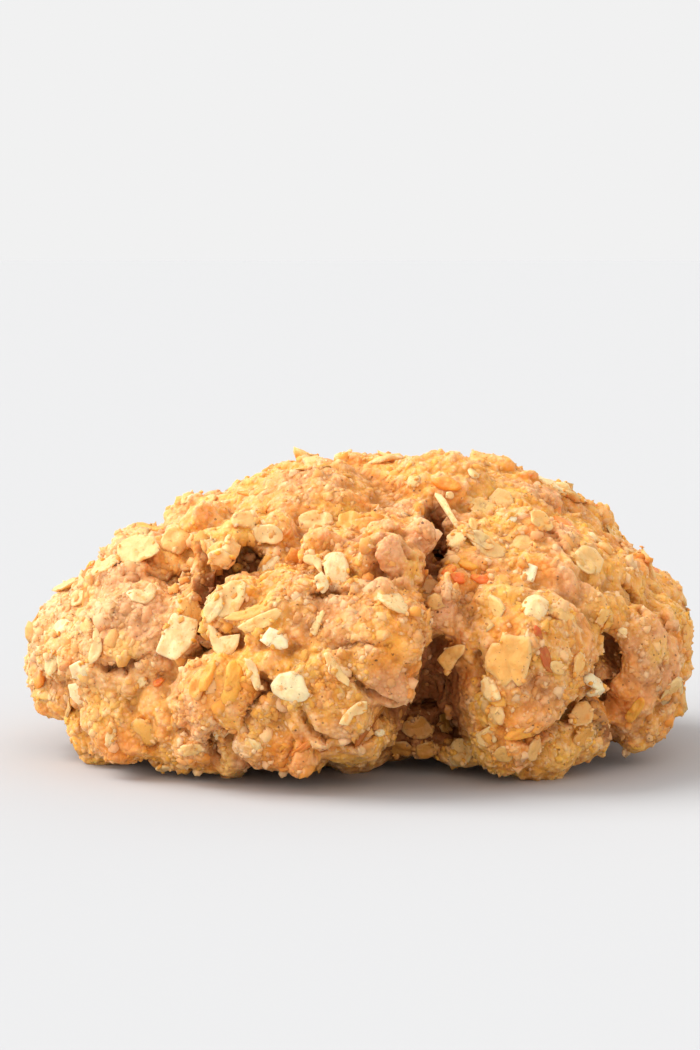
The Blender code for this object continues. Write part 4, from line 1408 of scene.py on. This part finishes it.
def shreds(plan, ground, taken):
    """Curved strips that dip in and out of the dough by a sine, as steps x ring points for each, and their
    faces: a rounded square carried along the path, narrowing to its ends."""
    count, lengths, widths, seed = plan
    directions, rng = spread(count, seed)
    turn = np.arange(SHRED_SIDES) * 2 * math.pi / SHRED_SIDES
    section_across, section_up = rounded_square(turn, 0.6)
    t = np.linspace(0, 1, SHRED_STEPS)
    taper = np.sqrt(np.maximum(1 - np.abs(2 * t - 1) ** 5, 0.04))
    made, tints = [], []
    for d in directions:
        base, normal = (v[0] for v in mound(d))
        length = rng.uniform(*lengths)
        width = rng.uniform(*widths)
        way = rng.normal(size=3)
        bow = rng.uniform(-0.25, 0.25)
        tint = rng.uniform(0.1, 0.8)
        waves = rng.uniform(0, 6.28)
        path = shred_path(ground, base, normal, way, length, bow)
        if path is None or np.linalg.norm(taken[:, None] - path, axis=2).min() < SHRED_GAP:
            continue
        if path[:, 1].mean() < FRONT_MIDDLE_Y and tint < 0.5:
            continue
        ahead = unit(np.gradient(path, axis=0))
        path += normal * (-0.18 + 0.35 * np.sin(waves + 5 * t))[:, None]
        across = unit(np.cross(normal, ahead))
        up = np.cross(ahead, across)
        wide = (width / 2 * taper)[:, None, None]
        tall = (width / 3.6 * taper)[:, None, None]
        points = path[:, None] + across[:, None] * section_across[None, :, None] * wide
        points = points + up[:, None] * section_up[None, :, None] * tall
        made.append(points.reshape(-1, 3))
        tints.append(tint)
    return np.array(made), np.array(tints), tube(SHRED_STEPS, SHRED_SIDES)


def tube(steps, ring):
    """Triangles of a tube of steps x ring points, with its ends closed by fans."""
    rank = np.arange(steps * ring).reshape(steps, ring)
    a, b = rank[:-1], rank[1:]
    c, d = np.roll(b, -1, 1), np.roll(a, -1, 1)
    walls = np.concatenate([np.stack([a, c, b], -1).reshape(-1, 3), np.stack([a, d, c], -1).reshape(-1, 3)])
    k = np.arange(1, ring - 1)
    near = np.stack([np.full(len(k), rank[0, 0]), rank[0, k], rank[0, k + 1]], 1)
    far = np.stack([np.full(len(k), rank[-1, 0]), rank[-1, k], rank[-1, k + 1]], 1)
    return np.concatenate([walls, near, far[:, ::-1]])


def joined(name, parts):
    """One mesh from parts, each (copies x points x 3, faces, {attribute: copies x points or copies})."""
    points, faces, values = [], [], {}
    for shapes, sides, given in parts:
        p, f = copies(shapes, sides)
        faces.append(f + sum(len(q) for q in points))
        points.append(p)
        for key, value in given.items():
            value = value if value.ndim == 2 else np.repeat(value[:, None], shapes.shape[1], 1)
            values.setdefault(key, []).append(value.ravel())
    mesh = mesh_of(name, np.concatenate(points), np.concatenate(faces))
    for key, value in values.items():
        attribute(mesh, key, np.concatenate(value))
    return mesh


def shade(shapes, ground):
    """Painted shade of each shape: how far it lies down in the hollows of the dough."""
    return np.clip(ground.hollow(shapes.mean(1)) * 1.6 - 0.25, 0, 1)


def rim_of(shape, count):
    """The radius of each point, repeated for each copy: the rim is paler."""
    return np.repeat(shape[1][None], count, 0)


def lifted(shapes):
    """The same shapes, each raised so that none reaches below the floor."""
    low = np.minimum(shapes[..., 2].min(1) - 0.02, 0)
    shapes[..., 2] -= low[:, None]
    return shapes


def make_flakes(ground):
    """The flakes, the middles of the named ones, and places on the edges where crumbs cling."""
    rng = np.random.default_rng(50)
    drawn, fine, plain = disc(44, FLAKE_RINGS), disc(26, FLAKE_RINGS), disc(10, PLAIN_RINGS)
    slabs, slab_tints, slab_shades, slab_middles = seen_slabs(SEEN_SLABS, ground, drawn, rng)
    seen, tints, shades, middles = seen_bits(SEEN_FLAKES, ground, fine, rng)
    middles = np.concatenate([slab_middles, middles])
    more, more_tints = more_bits(MORE_FLAKES, ground, plain, middles)
    kinds = ((slabs, drawn), (seen, fine), (more, plain))
    rims = np.concatenate([rim_places(*kind, share, rng) for kind, share in zip(kinds, RIM_SHARES)])
    parts = (
        (slabs, drawn, slab_tints, slab_shades),
        (seen, fine, tints, shades),
        (more, plain, more_tints, None),
    )
    return joined("oat_flakes", [oats(ground, *part) for part in parts]), middles, rims


def oats(ground, shapes, shape, tints, shades):
    """One part of the flakes, lifted off the floor, with the values that their material reads."""
    shapes = lifted(shapes)
    shades = shade(shapes, ground) if shades is None else shades
    return shapes, shape[3], {"tint": tints, "rim": rim_of(shape, len(shapes)), "hollow": shades}


def make_slivers(ground):
    """The pale stick and the small pale bits near it."""
    fine = disc(16, FLAKE_RINGS)
    seen, tints, shades, _ = seen_bits(SEEN_SLIVERS, ground, fine, np.random.default_rng(54))
    values = {"tint": tints, "rim": rim_of(fine, len(seen)), "hollow": shades}
    return joined("oat_slivers", [(seen, fine[3], values)])


def make_carrot(ground, taken):
    """The bits of carrot that show, and seeded shreds elsewhere."""
    fine = disc(20, FLAKE_RINGS)
    seen, tints, shades, _ = seen_bits(SEEN_CARROT, ground, fine, np.random.default_rng(60))
    strips, strip_tints, strip_faces = shreds(MORE_SHREDS, ground, taken)
    return joined("carrot_shreds", [
        (lifted(seen), fine[3], {"tint": tints, "hollow": shades}),
        (lifted(strips), strip_faces, {"tint": strip_tints, "hollow": shade(strips, ground)}),
    ])


def make_bits(name, plan, ground, template, faces, rims=None):
    """Uneven balls half sunk in the dough, each with the dough's values at its place and its own tint. Where
    rims are given, some more lie on the edges of the flakes."""
    count, radii, sunk, seed = plan
    rng = np.random.default_rng(seed)
    places, normals, values = ground.scattered(count, rng, crumbly)
    if rims is not None:
        places = np.concatenate([places, rims])
        normals = np.concatenate([normals, unit(rng.normal(0, 1, rims.shape) + unit(rims - CENTRE) * 1.5)])
        around = {key: np.zeros(len(rims)) for key in VALUES} | {"hollow": ground.hollow(rims, 1.0)}
        values = {key: np.concatenate([v, around[key]]) for key, v in values.items()}
        count = len(places)
    size = radii[0] + (radii[1] - radii[0]) * rng.random(count) ** 2.2
    stretch = rng.uniform(0.55, 1.40, (count, 3))
    stretch[:, 2] *= 0.8
    axes = frames_on(unit(normals + rng.normal(0, 0.35, normals.shape)), rng)
    local = template[None] * (size[:, None] * stretch)[:, None, :]
    rough = (template[None] * 1.6 + rng.uniform(0, 90, (count, 1, 3))).reshape(-1, 3)
    local = local * (1 + 0.75 * noise(rough, 1.0, seed).reshape(count, -1, 1))
    middles = places - normals * (size * sunk)[:, None]
    shapes = middles[:, None] + np.einsum("nij,nkj->nki", axes, local)
    tint = rng.random(count)
    # The crumbs take the dough's values at their place at 0.8: zones of colour, painted shade and painted
    # light.
    return joined(name, [(lifted(shapes), faces, {"tint": tint, **{k: v * 0.8 for k, v in values.items()}})])


def rim_places(shapes, shape, share, rng):
    """A share of the points on the edges of flat bits, taken at random."""
    edge = np.nonzero((shape[1] > 0.7) & (shape[2] > 0))[0]
    points = shapes[:, edge].reshape(-1, 3)
    return points[rng.random(len(points)) < share]


def crumbly(p):
    """Where loose crumbs gather: in patches, more on the front's middle and right, few underneath."""
    patch = np.clip(0.45 + 1.1 * noise(p, 6.0, 901), 0.08, 1.4)
    front = 1 + 0.9 * np.exp(-(((p - np.array([5.0, -31.0, 14.0])) / 9.0) ** 2).sum(1))
    crown = 1 - 0.55 * np.clip((p[:, 2] - 20) / 5, 0, 1)
    return patch * front * crown * np.clip((p[:, 2] - 0.6) / 1.5, 0, 1)


# ---------------------------------------------------------------- materials


class Recipe:
    """A material's node tree, with short calls for the nodes used here. Patterns read Object coordinates."""

    def __init__(self, name):
        self.material = bpy.data.materials.new(name)
        self.material.use_nodes = True
        self.tree = self.material.node_tree
        self.shader = self.tree.nodes["Principled BSDF"]
        self.place = self.tree.nodes.new("ShaderNodeTexCoord").outputs["Object"]

    def put(self, socket, value):
        """Links a socket to the value, or sets it. A colour of three gets an alpha of 1."""
        if isinstance(value, bpy.types.NodeSocket):
            self.tree.links.new(value, socket)
        elif isinstance(value, (tuple, list)) and len(value) == 3 and len(socket.default_value) == 4:
            socket.default_value = (*value, 1.0)
        else:
            socket.default_value = value

    def node(self, kind, **inputs):
        """A new node with these inputs, each named with _ for a space."""
        made = self.tree.nodes.new(kind)
        for name, value in inputs.items():
            self.put(made.inputs[name.replace("_", " ")], value)
        return made

    def math(self, how, a, b):
        """a and b joined by an operation."""
        made = self.tree.nodes.new("ShaderNodeMath")
        made.operation = how
        self.put(made.inputs[0], a)
        self.put(made.inputs[1], b)
        return made.outputs[0]

    def mix(self, share, a, b):
        """Colour a, and colour b by its share."""
        made = self.tree.nodes.new("ShaderNodeMix")
        made.data_type = "RGBA"
        self.put(made.inputs["Factor"], share)
        self.put(made.inputs[6], a)
        self.put(made.inputs[7], b)
        return made.outputs[2]

    def ramp(self, value, low, high, to_low=0.0, to_high=1.0):
        """The value eased from to_low at low to to_high at high."""
        made = self.node("ShaderNodeMapRange", Value=value, From_Min=low, From_Max=high)
        made.inputs["To Min"].default_value = to_low
        made.inputs["To Max"].default_value = to_high
        made.interpolation_type = "SMOOTHSTEP"
        return made.outputs["Result"]

    def clouds(self, size, detail=2.0, rough=0.5):
        """Noise of about 0..1 whose blobs are size millimetres across."""
        scale = 1 / (size * MM)
        made = self.node("ShaderNodeTexNoise", Vector=self.place, Scale=scale, Detail=detail, Roughness=rough)
        return made.outputs["Fac"]

    def cells(self, size):
        """Distance to the middles of cells size millimetres across, and the colour of each cell."""
        made = self.node("ShaderNodeTexVoronoi", Vector=self.place, Scale=1 / (size * MM))
        return made.outputs["Distance"], made.outputs["Color"]

    def gradient(self, value, stops):
        """A colour from the value through the stops, each a place and a colour."""
        made = self.node("ShaderNodeValToRGB", Fac=value)
        ramp = made.color_ramp
        while len(ramp.elements) < len(stops):
            ramp.elements.new(0.5)
        for element, (place, colour) in zip(ramp.elements, stops):
            element.position = place
            element.color = (*colour, 1.0)
        return made.outputs["Color"]

    def attribute(self, name):
        """The number that the surface has by this name."""
        made = self.tree.nodes.new("ShaderNodeAttribute")
        made.attribute_name = name
        return made.outputs["Fac"]

    def bump(self, height, depth, under=None):
        """A normal raised by height times depth millimetres, over another relief if one is given."""
        made = self.node("ShaderNodeBump", Height=height, Distance=depth * MM)
        if under:
            self.put(made.inputs["Normal"], under)
        return made.outputs["Normal"]

    def finish(self, **inputs):
        """Sets the shader's inputs and returns the material."""
        for name, value in inputs.items():
            self.put(self.shader.inputs[name.replace("_", " ")], value)
        return self.material


def dough_colour(r):
    """Tan with golden and pinkish patches and pale grains, and painted light that makes the left paler; the
    painted shade of the hollows is mixed in after it.
    """
    broad, middle, fine = r.clouds(7.0, 2), r.clouds(2.2, 3), r.clouds(0.7, 3)
    colour = r.mix(r.ramp(broad, 0.38, 0.62), TAN, GOLD)
    colour = r.mix(r.ramp(middle, 0.52, 0.70, 0, 0.6), colour, PINK_BROWN)
    colour = r.mix(r.math("MULTIPLY", r.attribute("pinkness"), 0.85), colour, PINK_BROWN)
    colour = r.mix(r.math("MULTIPLY", r.attribute("gold"), 0.8), colour, YELLOW)
    colour = r.mix(r.ramp(fine, 0.50, 0.68, 0, 0.55), colour, CREAM)
    # Painted light: the left paler, towards cream.
    colour = r.mix(r.attribute("painted_left_light"), colour, CREAM)
    return r.mix(r.math("MULTIPLY", r.attribute("warmth"), 0.9), colour, CARROT_STAIN)


def zone_tints(r, colour, share):
    """The zones' colours again, over the pale grains."""
    for name, tint in (("pinkness", PINK_BROWN), ("gold", YELLOW), ("warmth", CARROT_STAIN)):
        colour = r.mix(r.math("MULTIPLY", r.attribute(name), share), colour, tint)
    return colour


def specks(r, colour):
    """Spice specks of a few sizes, no rounder than noise leaves them. Few cells have a large one, by a power
    of the cell's own colour."""
    for size, share, much in SPECKS:
        distance, tint = r.cells(size)
        pick = r.node("ShaderNodeSeparateColor", Color=tint)
        reach = r.math("MULTIPLY", r.math("POWER", pick.outputs["Red"], 2.5), share)
        rough_edge = r.math("ADD", distance, r.math("MULTIPLY", r.clouds(0.2, 1), 0.10))
        speck = r.ramp(r.math("SUBTRACT", rough_edge, reach), 0.02, 0.07, much, 0.0)
        colour = r.mix(speck, colour, SPICE)
    return colour


def baked_dough():
    """Crumb with pale grains, spice specks and fine relief, painted highlight on the peaks and painted shade
    in the hollows.
    """
    r = Recipe("baked_dough")
    colour = dough_colour(r)
    grains, _ = r.cells(0.62)
    colour = r.mix(r.ramp(grains, 0.18, 0.34, 0.32, 0.0), colour, CREAM)
    # Painted highlight: the peaks of the dough paler, towards cream.
    colour = r.mix(r.math("MULTIPLY", r.attribute("peak_highlight"), 0.6), colour, CREAM)
    colour = zone_tints(r, colour, 0.45)
    # Painted shade: the hollows and cracks darkened towards brown.
    colour = r.mix(r.attribute("hollow"), colour, PAINTED_SHADE_BROWN)
    colour = specks(r, colour)
    relief = r.bump(r.clouds(0.32, 4, 0.65), 0.08)
    relief = r.bump(r.math("SUBTRACT", 1.0, grains), 0.32, relief)
    return r.finish(
        Base_Color=colour, Roughness=r.ramp(r.clouds(0.7, 3), 0.3, 0.7, 0.60, 0.90), Normal=relief,
        Subsurface_Weight=0.40, Subsurface_Radius=(1.0, 0.42, 0.16), Subsurface_Scale=1.6 * MM,
    )


def loose_crumb():
    """Dough like what it lies on, each crumb paler or darker by its tint, with the painted shade of its
    place.
    """
    r = Recipe("loose_crumb")
    colour = dough_colour(r)
    tint = r.attribute("tint")
    colour = r.mix(r.ramp(tint, 0.55, 1.0, 0.0, 0.75), colour, CREAM)
    colour = r.mix(r.ramp(tint, 0.0, 0.30, 0.55, 0.0), colour, PINK_BROWN)
    colour = zone_tints(r, colour, 0.35)
    # Painted shade where the crumb lies in the hollows.
    colour = r.mix(r.math("MULTIPLY", r.attribute("hollow"), 0.9), colour, PAINTED_SHADE_BROWN)
    relief = r.bump(r.clouds(0.25, 3, 0.6), 0.07)
    return r.finish(
        Base_Color=specks(r, colour), Roughness=0.68, Normal=relief,
        Subsurface_Weight=0.25, Subsurface_Radius=(1.0, 0.5, 0.22), Subsurface_Scale=1.2 * MM,
    )


def rolled_oat():
    """Waxy flake: cream to golden by its tint, paler at the rim, faintly mottled, with a dust of dough and
    painted shade where it lies deep.
    """
    r = Recipe("rolled_oat")
    colour = r.gradient(r.attribute("tint"), OAT_TINTS)
    colour = r.mix(r.ramp(r.clouds(1.1, 3), 0.45, 0.75, 0, 0.35), colour, OAT_TINTS[2][1])
    colour = r.mix(r.ramp(r.attribute("rim"), 0.75, 1.0, 0, 0.25), colour, OAT_TINTS[0][1])
    colour = r.mix(r.ramp(r.clouds(0.8, 4, 0.6), 0.54, 0.70, 0, 0.7), colour, TAN)
    colour = r.mix(r.ramp(r.clouds(0.35, 2), 0.66, 0.72, 0, 0.5), colour, SPICE)
    # Painted shade where the flake lies deep.
    colour = r.mix(r.math("MULTIPLY", r.attribute("hollow"), 0.75), colour, PAINTED_SHADE_BROWN)
    relief = r.bump(r.clouds(0.45, 3, 0.6), 0.14)
    relief = r.bump(r.clouds(1.6, 1), 0.25, relief)
    return r.finish(
        Base_Color=colour, Roughness=0.48, Normal=relief, Specular_IOR_Level=0.45,
        Subsurface_Weight=0.35, Subsurface_Radius=(1.0, 0.65, 0.35), Subsurface_Scale=1.5 * MM,
    )


def carrot():
    """Moist translucent orange with darker fibres, a dust of dough, and painted shade where it lies deep."""
    r = Recipe("carrot")
    colour = r.gradient(r.attribute("tint"), CARROT_TINTS)
    colour = r.mix(r.ramp(r.clouds(0.6, 3, 0.6), 0.5, 0.75, 0, 0.5), colour, CARROT_TINTS[0][1])
    colour = r.mix(r.ramp(r.clouds(0.9, 4, 0.65), 0.52, 0.66, 0, 0.8), colour, GOLD)
    # Painted shade where the carrot lies deep.
    colour = r.mix(r.math("MULTIPLY", r.attribute("hollow"), 0.8), colour, PAINTED_SHADE_BROWN)
    relief = r.bump(r.clouds(0.4, 3, 0.6), 0.12)
    return r.finish(
        Base_Color=colour, Roughness=0.50, Normal=relief,
        Subsurface_Weight=0.4, Subsurface_Radius=(1.0, 0.35, 0.1), Subsurface_Scale=1.5 * MM,
    )


# ---------------------------------------------------------------- floor, camera and lights


def make_floor():
    """A plain pale floor, wide enough that its edge doesn't show."""
    side = FLOOR_SIDE / 2
    corners = np.array([[-side, -side, 0], [side, -side, 0], [side, side, 0], [-side, side, 0]])
    floor = placed("floor", mesh_of("floor", corners, np.array([[0, 1, 2, 3]])))
    r = Recipe("pale_floor")
    floor.data.materials.append(r.finish(Base_Color=FLOOR_COLOUR, Roughness=1.0, Specular_IOR_Level=0.0))


def make_camera():
    """A camera on the axis of the view, whose lens gives PIXELS_PER_MM at the aim."""
    forward = view_axes()[2]
    camera = placed("camera", bpy.data.cameras.new("camera"))
    camera.data.sensor_width = SENSOR
    camera.data.lens = PIXELS_PER_MM * VIEW_DISTANCE * SENSOR / VIEW_SIZE[1]
    camera.data.clip_start = 0.01
    camera.location = Vector((VIEW_AIM - forward * VIEW_DISTANCE) * MM)
    camera.rotation_euler = Vector(forward).to_track_quat("-Z", "Y").to_euler()
    bpy.context.scene.camera = camera


def make_lamp(name, place, strength, angle, colour):
    """A sun lamp that shines from a place towards the origin."""
    lamp = bpy.data.lights.new(name, "SUN")
    lamp.energy = strength
    lamp.angle = math.radians(angle)
    lamp.color = colour
    thing = placed(name, lamp)
    thing.location = place
    thing.rotation_euler = (-Vector(place)).to_track_quat("-Z", "Y").to_euler()


def make_light():
    """A white world and the soft lamps."""
    world = bpy.data.worlds.new("studio")
    bpy.context.scene.world = world
    world.use_nodes = True
    world.node_tree.nodes["Background"].inputs["Color"].default_value = (1, 1, 1, 1)
    world.node_tree.nodes["Background"].inputs["Strength"].default_value = WORLD_STRENGTH
    for name, (place, strength, angle, colour) in LAMPS.items():
        make_lamp(name, place, strength, angle, colour)
    bpy.context.scene.view_settings.view_transform = "Standard"


# ---------------------------------------------------------------- run


def main():
    """The pieces from the dough outwards, then the studio."""
    dough = piece("dough", make_dough(), baked_dough())
    ground = Ground(dough)
    oat = rolled_oat()
    flakes, taken, rims = make_flakes(ground)
    piece("oat_flakes", flakes, oat)
    piece("oat_slivers", make_slivers(ground), oat)
    piece("carrot_shreds", make_carrot(ground, taken), carrot())
    crumb = loose_crumb()
    coarse, coarse_quads = welded(*cube_sphere(2))
    piece("crumbs", make_bits("crumbs", CRUMBS, ground, coarse, coarse_quads), crumb)
    fine, fine_triangles = icosahedron()
    piece("grains", make_bits("grains", GRAINS, ground, fine, fine_triangles, rims), crumb)
    make_floor()
    make_camera()
    make_light()


main()
